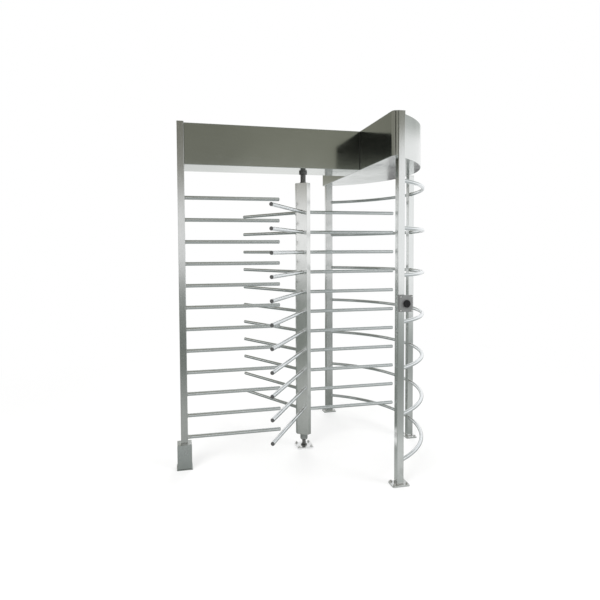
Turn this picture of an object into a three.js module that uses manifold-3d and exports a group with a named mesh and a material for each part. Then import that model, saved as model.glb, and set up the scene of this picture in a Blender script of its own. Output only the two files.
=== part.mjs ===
// Full height turnstile: a three-wing rotor of horizontal bars turns between a fixed comb of bars
// and a round cage of hoops, and hangs in a header beam that holds its locking mechanism.
// Millimetres, +Z up. The origin is on the floor, on the rotor's axis. -Y is the front,
// +X is the cage side and -X is the comb side.

import * as THREE from 'three';
import { mergeVertices } from 'three/addons/utils/BufferGeometryUtils.js';
import Module from 'manifold-3d';

const wasm = await Module();
wasm.setup();

// Clearances and cutting
const SEAT_GAP = 0.3;             // between two pieces that are welded or bolted together
const RUN_GAP = 0.5;              // between a turning or sliding piece and its guide
const CUT_OVER = 6;               // how far every cutting tool runs past what it cuts

// Posts
const POST_SIZE = 45;             // square tube of the comb, front and side posts
const REAR_POST_WIDTH = 60;       // the rear post is a wider tube
const POST_WALL = 3;
const POST_CORNER = 4;            // outer corner radius of the square tubes
const COMB_POST_RISE = 10;         // of the comb post above the header
const COMB_POST_X = -870;

// Foot plates and their holes
const FOOT_WIDTH = 110;
const FOOT_DEPTH = 84;
const FOOT_THICKNESS = 10;
const FOOT_CORNER = 8;
const FOOT_HOLE_SIZE = 12;        // anchor holes
const FOOT_HOLE_INSET = 14;
const CABLE_HOLE_SIZE = 20;       // under each post, for the cables

// Shoe that covers the comb post's foot
const SHOE_WIDTH = 95;
const SHOE_HEIGHT = 168;
const SHOE_WALL = 2.5;
const SHOE_CORNER = 5;
const SHOE_RIM_WIDTH = 105;       // flange round its bottom edge
const SHOE_RIM_HEIGHT = 6;
const SHOE_FOOT_WIDTH = 84;       // hidden foot plate, inside the shoe

// Bars of the comb and the rotor
const BAR_SIZE = 25;              // outer diameter
const BAR_CHAMFER = 2.5;          // of the plugs in the bar ends
const BAR_SIDES = 12;
const COMB_BARS = 12;
const COMB_TOP_BAR = 1805.5;
const COMB_BOTTOM_BAR = 206.1;
const COMB_TIP_X = -212.4;

// Rotor
const WINGS = 3;
const ARM_TIP_RADIUS = 705;
const COLUMN_WIDE_FACE = 80;      // the faces that the arms come out of
const COLUMN_NARROW_FACE = 36;    // the faces between them
const COLUMN_WALL = 4;
const COLUMN_HEAD = 207.2;        // of the column above its top arms
const COLUMN_BOTTOM = 103;
const COLUMN_PLATE = 10;          // end plates let into the column
const HUB_SIZE = 54;              // bearing hub under the column
const HUB_HEIGHT = 49;
const HUB_CHAMFER = 6;
const PIVOT_PIN_SIZE = 27;
const PIVOT_PLATE_WIDTH = 120;
const PIVOT_PLATE_THICKNESS = 12;
const PIVOT_PLATE_CORNER = 14;
const PIVOT_BOSS_SIZE = 46;
const PIVOT_BOSS_HEIGHT = 6;

// Cage
const CAGE_RADIUS = 846;          // of the hoops' centre line and of the three posts round it
const CAGE_HALF_ANGLE = 60.2;     // degrees from +X to the front post and to the rear post
const HOOPS = 7;
const HOOP_SIZE = 25;
const HOOP_SIDES = 10;
const HOOP_STEPS = 21;           // odd, so that the step in the side post's holes runs straight
const HOOP_DROP = 142;            // from the header down to the top hoop
const HOOP_BOTTOM = 147;
const HOOP_HOLE_GAP = 1.2;        // round a hoop where it runs through the side post

// Header beam and hood
const HEADER_CLEARANCE = 80;      // from the column up to the header
const HEADER_HEIGHT = 270;
const HEADER_FRONT = -190;
const HEADER_DEPTH = 300;
const SHEET = 2;
const FLOOR_SHEET = 3;            // the sheet under the header and the hood
const LID_LIP = 18;               // flanges turned in round the open top of the header
const HOOD_INSET = 16;            // of the curved wall from the hoops' centre line
const HOOD_SETBACK = 54.4;        // of the flat inner wall from the front post's axis
const HOOD_NOSE_LEAP = 17.9;      // of each end of the hood past the post's axis
const FRONT_NOSE_RADIUS = 28;
const REAR_NOSE_RADIUS = 20;
const NOSE_STEPS = 5;
const HOOD_STEPS = 26;            // facets of the curved outer wall

// Main shaft and its bearing
const SHAFT_SIZE = 38;
const SHAFT_TOP_SIZE = 34;        // above the collar, where the wheel and the gear are keyed
const SHAFT_FOOT_SIZE = 48;       // collar on the column's top plate
const SHAFT_FOOT_HEIGHT = 9;
const SHAFT_COLLAR_SIZE = 54;     // collar that rests on the bearing
const SHAFT_COLLAR_HEIGHT = 10;
const SHAFT_END = 37.5;           // above the gear
const BEARING_SPIGOT_SIZE = 58;   // lower end of the bearing, seen under the header
const BEARING_SPIGOT_DROP = 16;
const BEARING_FLANGE_SIZE = 116;
const BEARING_FLANGE_HEIGHT = 12;
const BEARING_BODY_SIZE = 78;
const BEARING_BODY_HEIGHT = 24;

// Mechanism plate with the pawl pivots
const BASE_WIDTH = 330;
const BASE_DEPTH = 250;
const BASE_THICKNESS = 10;
const BASE_CENTRE_X = -20;
const BASE_CENTRE_Y = -40;
const BASE_CORNER = 12;
const PAWL_POST_SIZE = 22;
const PAWL_PIN_SIZE = 10;

// Locking wheel and its two pawls
const WHEEL_RADIUS = 70;
const WHEEL_THICKNESS = 12;
const NOTCHES = 12;
const NOTCH_DEPTH = 10;
const NOTCH_MOUTH = 16;
const NOTCH_FLOOR = 12;
const PAWL_ANGLE = 75;            // degrees from the mechanism's front line to the pawl's nose
const PAWL_REACH = 65;            // from the pivot to the nose
const PAWL_TAIL = 40;
const PAWL_WIDTH = 12;
const PAWL_BOSS_SIZE = 24;
const PAWL_THICKNESS = 10;
const PAWL_NOSE_BASE = 11;
const PAWL_NOSE_TIP = 8;
const PAWL_CLEAR = 3;             // between the nose and the wheel's rim when unlocked
const PAWL_NOSE_HEIGHT = 9;       // of the nose over the pawl's arm

// Solenoids that throw the pawls
const COIL_SIZE = 34;
const COIL_LENGTH = 33;
const COIL_FROM_CENTRE = 2;
const COIL_FOOT_DEPTH = 22;
const PLUNGER_SIZE = 10;
const PLUNGER_HEAD_SIZE = 16;
const PLUNGER_HEAD_LENGTH = 2;    // of the straight part, behind the domed end
const DOME_STEPS = 4;
const PLUNGER_STROKE_ROOM = 9;    // of bore behind the plunger

// Gear on the shaft and the rotary damper that it turns
const GEAR_MODULE = 5;
const GEAR_TEETH = 36;
const PINION_TEETH = 12;
const GEAR_THICKNESS = 14;
const GEAR_HUB_SIZE = 60;
const GEAR_HUB_HEIGHT = 6;
const GEAR_BACKLASH = 0.9;        // taken off each tooth's thickness
const ADDENDUM_SHARE = 0.9;       // of the module, from the pitch circle to a tooth's tip
const DEDENDUM_SHARE = 1.15;      // of the module, from the pitch circle to its root
const FLANK_SLOPE_SHARE = 0.36;   // how far a flank leans for each millimetre of its height
const DAMPER_SIZE = 56;
const DAMPER_SPINDLE_SIZE = 16;
const DAMPER_SPINDLE_DEPTH = 30;

// Control unit in the header
const CONTROL_WIDTH = 240;
const CONTROL_DEPTH = 160;
const CONTROL_HEIGHT = 70;
const CONTROL_X = -520;
const CONTROL_CORNER = 8;
const CONTROL_RIM = 6;            // step between its base and its cover

// Push button on the front post
const BUTTON_BOX_WIDTH = 88;
const BUTTON_BOX_HEIGHT = 100;
const BUTTON_BOX_DEPTH = 28;
const BUTTON_BOX_CORNER = 5;
const BUTTON_BOX_EDGE = 3;        // rounded edge round its front
const BUTTON_BOX_Z = 1132;
const BUTTON_BOX_OVERHANG = 1.5;  // past the post's left side
const BEZEL_SIZE = 56;
const BEZEL_HEIGHT = 6;
const BUTTON_SIZE = 44;
const BUTTON_HEIGHT = 9;          // of the button above the box
const BUTTON_CROWN = 2;
const BUTTON_STEM_SIZE = 20;
const BUTTON_TRAVEL = 4;

// Places that follow from the sizes
const rad = THREE.MathUtils.degToRad;
const FRONT_POST_X = CAGE_RADIUS * Math.cos(rad(CAGE_HALF_ANGLE));
const FRONT_POST_Y = -CAGE_RADIUS * Math.sin(rad(CAGE_HALF_ANGLE));
const COMB_Y = HEADER_FRONT + POST_SIZE / 2;
const COMB_POST_SIDE = COMB_POST_X + POST_SIZE / 2;
const BAR_PITCH = (COMB_TOP_BAR - COMB_BOTTOM_BAR) / (COMB_BARS - 1);
const ARM_TIERS = COMB_BARS - 1;
const ARM_TOP = COMB_TOP_BAR - BAR_PITCH / 2;
const COLUMN_TOP = ARM_TOP + COLUMN_HEAD;
const HEADER_BOTTOM = COLUMN_TOP + HEADER_CLEARANCE;
const HEADER_TOP = HEADER_BOTTOM + HEADER_HEIGHT;
const HOOP_TOP = HEADER_BOTTOM - HOOP_DROP;
const HOOP_PITCH = (HOOP_TOP - HOOP_BOTTOM) / (HOOPS - 1);
const HOOD_RADIUS = CAGE_RADIUS - HOOD_INSET;
const HOOD_INNER_X = FRONT_POST_X - HOOD_SETBACK;
const HOOD_NOSE_Y = HOOD_NOSE_LEAP - FRONT_POST_Y;
const LID_BOTTOM = HEADER_TOP - SHEET;
const SHELL_TOP = LID_BOTTOM - SEAT_GAP;
const HEADER_LEFT = COMB_POST_SIDE + SEAT_GAP;
const HEADER_RIGHT = HOOD_INNER_X - SEAT_GAP;
const HEADER_BACK = HEADER_FRONT + HEADER_DEPTH;
const BASE_BOTTOM = HEADER_BOTTOM + FLOOR_SHEET + SEAT_GAP;
const BASE_TOP = BASE_BOTTOM + BASE_THICKNESS;
const BEARING_BOTTOM = BASE_TOP + SEAT_GAP;
const BEARING_TOP = BEARING_BOTTOM + BEARING_FLANGE_HEIGHT + BEARING_BODY_HEIGHT;
const WHEEL_BOTTOM = BEARING_TOP + 2 * SEAT_GAP + SHAFT_COLLAR_HEIGHT;
const GEAR_HUB_BOTTOM = WHEEL_BOTTOM + WHEEL_THICKNESS + SEAT_GAP;
const GEAR_BOTTOM = GEAR_HUB_BOTTOM + GEAR_HUB_HEIGHT;
const SHAFT_TOP = GEAR_BOTTOM + GEAR_THICKNESS + SHAFT_END;
const PAWL_BOTTOM = WHEEL_BOTTOM + (WHEEL_THICKNESS - PAWL_THICKNESS) / 2;
const DAMPER_X = -GEAR_MODULE * (GEAR_TEETH + PINION_TEETH) / 2;

// Materials
function steel(color, roughness, metalness = 1) {
  return new THREE.MeshStandardMaterial({ color, roughness, metalness });
}
const POLISHED = steel(0xd8dad8, 0.22);
const BRUSHED = steel(0xb9bcb8, 0.34);
const HEADER_SKIN = steel(0x7f8079, 0.36);
const DARK_STEEL = steel(0x3d4040, 0.45);
const ZINC = steel(0xa3a8a6, 0.4);
const BLACK_PLASTIC = steel(0x151616, 0.5, 0);
const GREY_CAST = steel(0x7b807e, 0.5, 0.6);

// A closed geometry as a solid: vertices merged and zero triangles dropped
function toSolid(geometry) {
  const plain = geometry.index ? geometry.clone() : geometry;
  plain.deleteAttribute('normal');
  plain.deleteAttribute('uv');
  const merged = mergeVertices(plain, 1e-3);
  const index = merged.index.array;
  const triangles = [];
  for (let i = 0; i < index.length; i += 3) {
    const [a, b, c] = [index[i], index[i + 1], index[i + 2]];
    if (a !== b && b !== c && c !== a) triangles.push(a, b, c);
  }
  return new wasm.Manifold(new wasm.Mesh({
    numProp: 3,
    vertProperties: new Float32Array(merged.attributes.position.array),
    triVerts: new Uint32Array(triangles),
  }));
}

// A solid back as a geometry with normals
function toGeometry(solid) {
  const mesh = solid.getMesh();
  const geometry = new THREE.BufferGeometry();
  geometry.setAttribute('position', new THREE.BufferAttribute(mesh.vertProperties, 3));
  geometry.setIndex(new THREE.BufferAttribute(mesh.triVerts, 1));
  const flat = geometry.toNonIndexed();
  flat.computeVertexNormals();
  return flat;
}

function join(...geometries) {
  return geometries.map(toSolid).reduce((sum, next) => sum.add(next));
}

function cut(body, ...tools) {
  return tools.map((tool) => (tool.isBufferGeometry ? toSolid(tool) : tool))
    .reduce((rest, tool) => rest.subtract(tool), body.isBufferGeometry ? toSolid(body) : body);
}

// Points along an arc, in plan
function arc(x, y, radius, from, to, steps) {
  return Array.from({ length: steps + 1 }, (_, i) => {
    const angle = from + (to - from) * i / steps;
    return [x + radius * Math.cos(angle), y + radius * Math.sin(angle)];
  });
}

function outline(points) {
  return new THREE.Shape(points.map(([x, y]) => new THREE.Vector2(x, y)));
}

function roundedRectangle(x, y, width, depth, radius, steps = 2) {
  const [hx, hy] = [width / 2 - radius, depth / 2 - radius];
  const quarter = Math.PI / 2;
  return outline([
    ...arc(x + hx, y + hy, radius, 0, quarter, steps),
    ...arc(x - hx, y + hy, radius, quarter, 2 * quarter, steps),
    ...arc(x - hx, y - hy, radius, 2 * quarter, 3 * quarter, steps),
    ...arc(x + hx, y - hy, radius, 3 * quarter, 4 * quarter, steps),
  ]);
}

// An outline in plan, raised from z0 by height
function raise(shape, z0, height) {
  const settings = { depth: height, bevelEnabled: false };
  return new THREE.ExtrudeGeometry(shape, settings).translate(0, 0, z0);
}

// A turned piece about the Z axis from [radius, height] pairs that start and end on the axis
function turned(profile, sides = 18) {
  const points = profile.map(([r, z]) => new THREE.Vector2(r, z));
  return new THREE.LatheGeometry(points, sides).rotateX(Math.PI / 2);
}

function drill(x, y, size, z0, z1, sides = 16) {
  const tool = new THREE.CylinderGeometry(size / 2, size / 2, z1 - z0 + 2 * CUT_OVER, sides);
  return tool.rotateX(Math.PI / 2).translate(x, y, (z0 + z1) / 2);
}

function block(x0, x1, y0, y1, z0, z1) {
  const box = new THREE.BoxGeometry(x1 - x0, y1 - y0, z1 - z0);
  return box.translate((x0 + x1) / 2, (y0 + y1) / 2, (z0 + z1) / 2);
}

// A round bar along +X with a chamfered plug in its free end
function roundBar(start, end, size) {
  const [radius, length] = [size / 2, end - start];
  const profile = [[0, 0], [radius, 0], [radius, length - BAR_CHAMFER],
    [radius - BAR_CHAMFER, length], [0, length]];
  return turned(profile, BAR_SIDES).rotateY(Math.PI / 2).translate(start, 0, 0);
}

const turnstile = new THREE.Group();
turnstile.name = 'full_height_turnstile';
const rotor = new THREE.Group();
turnstile.add(rotor);

function place(name, solid, material, parent = turnstile) {
  const geometry = solid.isBufferGeometry ? toGeometry(toSolid(solid)) : toGeometry(solid);
  const mesh = new THREE.Mesh(geometry, material);
  mesh.name = name;
  parent.add(mesh);
  return mesh;
}

// A square tube closed by a cap, welded to a foot plate with anchor holes and a cable hole
function postOnFoot(x, y, width, top, footWidth, footDepth) {
  const tube = raise(roundedRectangle(x, y, width, POST_SIZE, POST_CORNER), 0, top);
  const foot = raise(roundedRectangle(x, y, footWidth, footDepth, FOOT_CORNER), 0, FOOT_THICKNESS);
  const bore = block(x - width / 2 + POST_WALL, x + width / 2 - POST_WALL,
    y - POST_SIZE / 2 + POST_WALL, y + POST_SIZE / 2 - POST_WALL, FOOT_THICKNESS, top - POST_WALL);
  const holes = [drill(x, y, CABLE_HOLE_SIZE, 0, FOOT_THICKNESS, 12)];
  for (const side of [-1, 1]) {
    for (const end of [-1, 1]) {
      const holeX = x + side * (footWidth / 2 - FOOT_HOLE_INSET);
      const holeY = y + end * (footDepth / 2 - FOOT_HOLE_INSET);
      holes.push(drill(holeX, holeY, FOOT_HOLE_SIZE, 0, FOOT_THICKNESS, 8));
    }
  }
  return cut(join(tube, foot), bore, ...holes);
}

// Comb post, its shoe and the twelve fixed bars
const combPost = postOnFoot(COMB_POST_X, COMB_Y, POST_SIZE, HEADER_TOP + COMB_POST_RISE,
  SHOE_FOOT_WIDTH, SHOE_FOOT_WIDTH);
place('comb_post', combPost, BRUSHED);

const shoeRim = raise(roundedRectangle(COMB_POST_X, COMB_Y, SHOE_RIM_WIDTH, SHOE_RIM_WIDTH,
  SHOE_CORNER), 0, SHOE_RIM_HEIGHT);
const shoeBody = raise(roundedRectangle(COMB_POST_X, COMB_Y, SHOE_WIDTH, SHOE_WIDTH, SHOE_CORNER),
  0, SHOE_HEIGHT);
const shoeInside = SHOE_WIDTH - 2 * SHOE_WALL;
const shoeHollow = raise(roundedRectangle(COMB_POST_X, COMB_Y, shoeInside, shoeInside,
  SHOE_CORNER - SHOE_WALL), -CUT_OVER, SHOE_HEIGHT + CUT_OVER - SHOE_WALL);
const shoeMouth = POST_SIZE + 2 * SEAT_GAP;
const shoeMouthCut = raise(roundedRectangle(COMB_POST_X, COMB_Y, shoeMouth, shoeMouth, POST_CORNER),
  SHOE_HEIGHT - SHOE_WALL - CUT_OVER, SHOE_WALL + 2 * CUT_OVER);
place('comb_post_shoe', cut(join(shoeRim, shoeBody), shoeHollow, shoeMouthCut), BRUSHED);

const combBar = roundBar(COMB_POST_SIDE + SEAT_GAP, COMB_TIP_X, BAR_SIZE);
for (let i = 0; i < COMB_BARS; i += 1) {
  const bar = place(`barrier_bar_${String(i + 1).padStart(2, '0')}`, combBar, POLISHED);
  bar.position.set(0, COMB_Y, COMB_TOP_BAR - i * BAR_PITCH);
}

// Cage posts: the front and rear ones run up through the ends of the hood, the side one stops
// under it and is drilled for the hoops
const hoopHeights = Array.from({ length: HOOPS }, (_, i) => HOOP_TOP - i * HOOP_PITCH);
place('front_post', postOnFoot(FRONT_POST_X, FRONT_POST_Y, POST_SIZE, HEADER_TOP,
  FOOT_WIDTH, FOOT_DEPTH), BRUSHED);
place('rear_post', postOnFoot(FRONT_POST_X, -FRONT_POST_Y, REAR_POST_WIDTH, HEADER_TOP,
  FOOT_WIDTH, FOOT_DEPTH), BRUSHED);

const hoopHoleRadius = HOOP_SIZE / 2 + HOOP_HOLE_GAP;
const hoopHoleX = CAGE_RADIUS * Math.cos(rad(CAGE_HALF_ANGLE) / HOOP_STEPS);
const sidePostHoles = hoopHeights.map((z) => {
  const tool = new THREE.CylinderGeometry(hoopHoleRadius, hoopHoleRadius, POST_SIZE + 2 * CUT_OVER,
    HOOP_SIDES);
  return tool.translate(hoopHoleX, 0, z);
});
const sidePost = postOnFoot(CAGE_RADIUS, 0, POST_SIZE, HEADER_BOTTOM - SEAT_GAP, FOOT_DEPTH,
  FOOT_WIDTH);
place('side_post', cut(sidePost, ...sidePostHoles), BRUSHED);

// A hoop is one bent tube from the rear post through the side post to the front post, with its
// ends coped to fit the posts
class CageArc extends THREE.Curve {
  getPoint(t, target = new THREE.Vector3()) {
    const angle = rad(CAGE_HALF_ANGLE) * (1 - 2 * t);
    return target.set(CAGE_RADIUS * Math.cos(angle), CAGE_RADIUS * Math.sin(angle), 0);
  }
}
const hoopSection = new THREE.Shape();
hoopSection.absarc(0, 0, HOOP_SIZE / 2, 0, 2 * Math.PI);
const hoopTube = new THREE.ExtrudeGeometry(hoopSection, {
  steps: HOOP_STEPS, extrudePath: new CageArc(), curveSegments: HOOP_SIDES / 2, bevelEnabled: false,
});
function cope(width, side) {
  const halfWidth = width / 2 + SEAT_GAP;
  const halfDepth = POST_SIZE / 2 + SEAT_GAP;
  const y = side * FRONT_POST_Y;
  return block(FRONT_POST_X - halfWidth - HOOP_SIZE, FRONT_POST_X + halfWidth,
    y - halfDepth, y + halfDepth, -HOOP_SIZE, HOOP_SIZE);
}
const hoop = toGeometry(cut(hoopTube, cope(POST_SIZE, 1), cope(REAR_POST_WIDTH, -1)));
hoopHeights.forEach((z, i) => {
  place(`guide_hoop_${i + 1}`, hoop, POLISHED).position.z = z;
});

// Header beam: an open-topped sheet box with lips turned in for its lid
const bearingHole = drill(0, 0, BEARING_SPIGOT_SIZE + 2 * SEAT_GAP, HEADER_BOTTOM, BASE_TOP, 20);
const headerBox = block(HEADER_LEFT, HEADER_RIGHT, HEADER_FRONT, HEADER_BACK, HEADER_BOTTOM,
  SHELL_TOP);
const headerHollow = block(HEADER_LEFT + SHEET, HEADER_RIGHT - SHEET, HEADER_FRONT + SHEET,
  HEADER_BACK - SHEET, HEADER_BOTTOM + FLOOR_SHEET, SHELL_TOP - SHEET);
const headerMouth = block(HEADER_LEFT + LID_LIP, HEADER_RIGHT - LID_LIP, HEADER_FRONT + LID_LIP,
  HEADER_BACK - LID_LIP, SHELL_TOP - SHEET - CUT_OVER, SHELL_TOP + CUT_OVER);
place('header_shell', cut(headerBox, headerHollow, headerMouth, bearingHole), HEADER_SKIN);
place('header_lid', block(HEADER_LEFT, HEADER_RIGHT, HEADER_FRONT, HEADER_BACK, LID_BOTTOM,
  HEADER_TOP), HEADER_SKIN);

// Hood over the cage, in plan: straight inner wall, rounded noses that meet the posts, and an
// outer wall round the rotor's axis. The inset draws the inside of its sheets.
function hoodPlan(inset) {
  const wallX = HOOD_INNER_X + inset;
  const noseY = HOOD_NOSE_Y - inset;
  const outer = HOOD_RADIUS - inset;
  const postBackY = -FRONT_POST_Y - POST_SIZE / 2 - SEAT_GAP - inset;
  const frontPostX = FRONT_POST_X - POST_SIZE / 2 - SEAT_GAP - inset;
  const rearPostX = FRONT_POST_X - REAR_POST_WIDTH / 2 - SEAT_GAP - inset;
  const frontNose = FRONT_NOSE_RADIUS - inset;
  const rearNose = REAR_NOSE_RADIUS - inset;
  const sweep = Math.asin(postBackY / outer);
  return outline([
    ...arc(wallX + frontNose, frontNose - noseY, frontNose, Math.PI, 1.5 * Math.PI, NOSE_STEPS),
    [frontPostX, -noseY],
    [frontPostX, -postBackY],
    ...arc(0, 0, outer, -sweep, sweep, HOOD_STEPS),
    [rearPostX, postBackY],
    [rearPostX, noseY],
    ...arc(wallX + rearNose, noseY - rearNose, rearNose, Math.PI / 2, Math.PI, NOSE_STEPS),
  ]);
}
const hoodBox = raise(hoodPlan(0), HEADER_BOTTOM, SHELL_TOP - HEADER_BOTTOM);
const hoodHollow = raise(hoodPlan(SHEET), HEADER_BOTTOM + FLOOR_SHEET, SHELL_TOP - HEADER_BOTTOM);
place('hood_shell', cut(hoodBox, hoodHollow), HEADER_SKIN);
place('hood_lid', raise(hoodPlan(0), LID_BOTTOM, SHEET), HEADER_SKIN);

// Column: a folded six-sided tube with a wide face for each wing and narrow faces between
function columnPlan(inset) {
  const wideOffset = (COLUMN_WIDE_FACE + 2 * COLUMN_NARROW_FACE) / (2 * Math.sqrt(3)) - inset;
  const narrowOffset = (2 * COLUMN_WIDE_FACE + COLUMN_NARROW_FACE) / (2 * Math.sqrt(3)) - inset;
  const half = (2 * narrowOffset - wideOffset) / Math.sqrt(3);
  const corners = [];
  for (let wing = 0; wing < WINGS; wing += 1) {
    const facing = 2 * Math.PI * wing / WINGS;
    for (const side of [-half, half]) {
      corners.push([wideOffset * Math.cos(facing) - side * Math.sin(facing),
        wideOffset * Math.sin(facing) + side * Math.cos(facing)]);
    }
  }
  return outline(corners);
}
const tiers = Array.from({ length: ARM_TIERS }, (_, i) => ARM_TOP - i * BAR_PITCH);
const armHoleTool = toSolid(roundBar(0, COLUMN_WIDE_FACE, BAR_SIZE + 2 * SEAT_GAP));
const armHoles = [];
for (const z of tiers) {
  for (let wing = 0; wing < WINGS; wing += 1) {
    armHoles.push(armHoleTool.rotate([0, 0, 360 * wing / WINGS]).translate([0, 0, z]));
  }
}
const columnHeight = COLUMN_TOP - COLUMN_BOTTOM;
const columnSkin = toSolid(raise(columnPlan(0), COLUMN_BOTTOM, columnHeight));
const columnHollow = toSolid(raise(columnPlan(COLUMN_WALL), COLUMN_BOTTOM - CUT_OVER,
  columnHeight + 2 * CUT_OVER));
place('rotor_column', cut(columnSkin, columnHollow, ...armHoles), BRUSHED, rotor);

// Each tier is three bars joined on the axis, pushed out through the column's wide faces
const armBar = toSolid(roundBar(0, ARM_TIP_RADIUS, BAR_SIZE));
let armTier = armBar;
for (let wing = 1; wing < WINGS; wing += 1) {
  armTier = armTier.add(armBar.rotate([0, 0, 360 * wing / WINGS]));
}
tiers.forEach((z, i) => {
  place(`arm_tier_${String(i + 1).padStart(2, '0')}`, armTier, POLISHED, rotor).position.z = z;
});

// Top plate, let into the column, and the main shaft that stands on it
const plateInset = COLUMN_WALL + SEAT_GAP;
const topPlate = raise(columnPlan(plateInset), COLUMN_TOP - COLUMN_PLATE, COLUMN_PLATE);
place('column_top_plate', cut(topPlate,
  drill(0, 0, SHAFT_SIZE + 2 * SEAT_GAP, COLUMN_TOP - COLUMN_PLATE, COLUMN_TOP, 18)), ZINC, rotor);

const shaftFoot = COLUMN_TOP + SEAT_GAP;
const shaftCollar = BEARING_TOP + SEAT_GAP;
place('main_shaft', turned([
  [0, COLUMN_TOP - COLUMN_PLATE], [SHAFT_SIZE / 2, COLUMN_TOP - COLUMN_PLATE],
  [SHAFT_SIZE / 2, shaftFoot], [SHAFT_FOOT_SIZE / 2, shaftFoot],
  [SHAFT_FOOT_SIZE / 2, shaftFoot + SHAFT_FOOT_HEIGHT], [SHAFT_SIZE / 2, shaftFoot + SHAFT_FOOT_HEIGHT],
  [SHAFT_SIZE / 2, shaftCollar], [SHAFT_COLLAR_SIZE / 2, shaftCollar],
  [SHAFT_COLLAR_SIZE / 2, shaftCollar + SHAFT_COLLAR_HEIGHT],
  [SHAFT_TOP_SIZE / 2, shaftCollar + SHAFT_COLLAR_HEIGHT], [SHAFT_TOP_SIZE / 2, SHAFT_TOP],
  [0, SHAFT_TOP],
]), DARK_STEEL, rotor);

// Bottom plate with the bearing hub, which turns on the pin of the floor pivot
const hubBottom = COLUMN_BOTTOM - HUB_HEIGHT;
const hub = turned([
  [0, hubBottom], [HUB_SIZE / 2 - HUB_CHAMFER, hubBottom], [HUB_SIZE / 2, hubBottom + HUB_CHAMFER],
  [HUB_SIZE / 2, COLUMN_BOTTOM + COLUMN_PLATE], [0, COLUMN_BOTTOM + COLUMN_PLATE],
]);
const bottomPlate = raise(columnPlan(plateInset), COLUMN_BOTTOM, COLUMN_PLATE);
const pinBore = drill(0, 0, PIVOT_PIN_SIZE + 2 * RUN_GAP, hubBottom - CUT_OVER,
  COLUMN_BOTTOM - CUT_OVER - SEAT_GAP, 20);
place('column_base_hub', cut(join(hub, bottomPlate), pinBore), ZINC, rotor);

const pivotPlate = raise(roundedRectangle(0, 0, PIVOT_PLATE_WIDTH, PIVOT_PLATE_WIDTH,
  PIVOT_PLATE_CORNER), 0, PIVOT_PLATE_THICKNESS);
const pivotBossTop = PIVOT_PLATE_THICKNESS + PIVOT_BOSS_HEIGHT;
const pivotPin = turned([
  [0, 0], [PIVOT_BOSS_SIZE / 2, 0], [PIVOT_BOSS_SIZE / 2, pivotBossTop],
  [PIVOT_PIN_SIZE / 2, pivotBossTop], [PIVOT_PIN_SIZE / 2, COLUMN_BOTTOM - 2 * SEAT_GAP],
  [0, COLUMN_BOTTOM - 2 * SEAT_GAP],
], 20);
const pivotHoles = [];
for (const side of [-1, 1]) {
  for (const end of [-1, 1]) {
    const reach = PIVOT_PLATE_WIDTH / 2 - FOOT_HOLE_INSET;
    pivotHoles.push(drill(side * reach, end * reach, FOOT_HOLE_SIZE, 0, PIVOT_PLATE_THICKNESS, 8));
  }
}
place('floor_pivot', cut(join(pivotPlate, pivotPin), ...pivotHoles), ZINC);

// Mechanism plate on the header's floor, with the posts and pins that the pawls turn on
function pawlPivot(side) {
  const angle = rad(PAWL_ANGLE);
  const rim = WHEEL_RADIUS + PAWL_CLEAR;
  const forward = rim * Math.cos(angle) + PAWL_REACH * Math.sin(angle);
  const sideways = rim * Math.sin(angle) - PAWL_REACH * Math.cos(angle);
  return [side * sideways, -forward];
}
const pawlPostTop = PAWL_BOTTOM - SEAT_GAP;
const pawlPinTop = PAWL_BOTTOM + PAWL_THICKNESS + PAWL_CLEAR;
const pawlPosts = [-1, 1].map((side) => turned([
  [0, BASE_BOTTOM], [PAWL_POST_SIZE / 2, BASE_BOTTOM], [PAWL_POST_SIZE / 2, pawlPostTop],
  [PAWL_PIN_SIZE / 2, pawlPostTop], [PAWL_PIN_SIZE / 2, pawlPinTop], [0, pawlPinTop],
], 16).translate(...pawlPivot(side), 0));
const basePlate = raise(roundedRectangle(BASE_CENTRE_X, BASE_CENTRE_Y, BASE_WIDTH, BASE_DEPTH,
  BASE_CORNER), BASE_BOTTOM, BASE_THICKNESS);
place('mechanism_plate', cut(join(basePlate, ...pawlPosts), bearingHole), ZINC);

const bearingBottom = HEADER_BOTTOM - BEARING_SPIGOT_DROP;
const bearingOutside = turned([
  [0, bearingBottom], [BEARING_SPIGOT_SIZE / 2, bearingBottom],
  [BEARING_SPIGOT_SIZE / 2, BEARING_BOTTOM], [BEARING_FLANGE_SIZE / 2, BEARING_BOTTOM],
  [BEARING_FLANGE_SIZE / 2, BEARING_BOTTOM + BEARING_FLANGE_HEIGHT],
  [BEARING_BODY_SIZE / 2, BEARING_BOTTOM + BEARING_FLANGE_HEIGHT],
  [BEARING_BODY_SIZE / 2, BEARING_TOP], [0, BEARING_TOP],
], 20);
place('top_bearing', cut(bearingOutside,
  drill(0, 0, SHAFT_SIZE + 2 * RUN_GAP, bearingBottom, BEARING_TOP, 18)), DARK_STEEL);

// Locking wheel: a disc with twelve notches that either pawl can drop into
function polar(radius, angle) {
  return [radius * Math.cos(angle), radius * Math.sin(angle)];
}
const noseHeading = rad(PAWL_ANGLE - 90);
const notchFloorRadius = WHEEL_RADIUS - NOTCH_DEPTH;
const mouthHalf = Math.asin(NOTCH_MOUTH / 2 / WHEEL_RADIUS);
const floorHalf = Math.asin(NOTCH_FLOOR / 2 / notchFloorRadius);
const wheelCorners = [];
for (let i = 0; i < NOTCHES; i += 1) {
  const centre = noseHeading + 2 * Math.PI * i / NOTCHES;
  wheelCorners.push(
    polar(WHEEL_RADIUS, centre - mouthHalf),
    polar(notchFloorRadius, centre - floorHalf),
    polar(notchFloorRadius, centre + floorHalf),
    polar(WHEEL_RADIUS, centre + mouthHalf),
    polar(WHEEL_RADIUS, centre + Math.PI / NOTCHES),
  );
}
const keyedBore = drill(0, 0, SHAFT_TOP_SIZE + 2 * SEAT_GAP, WHEEL_BOTTOM,
  GEAR_BOTTOM + GEAR_THICKNESS, 18);
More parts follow.
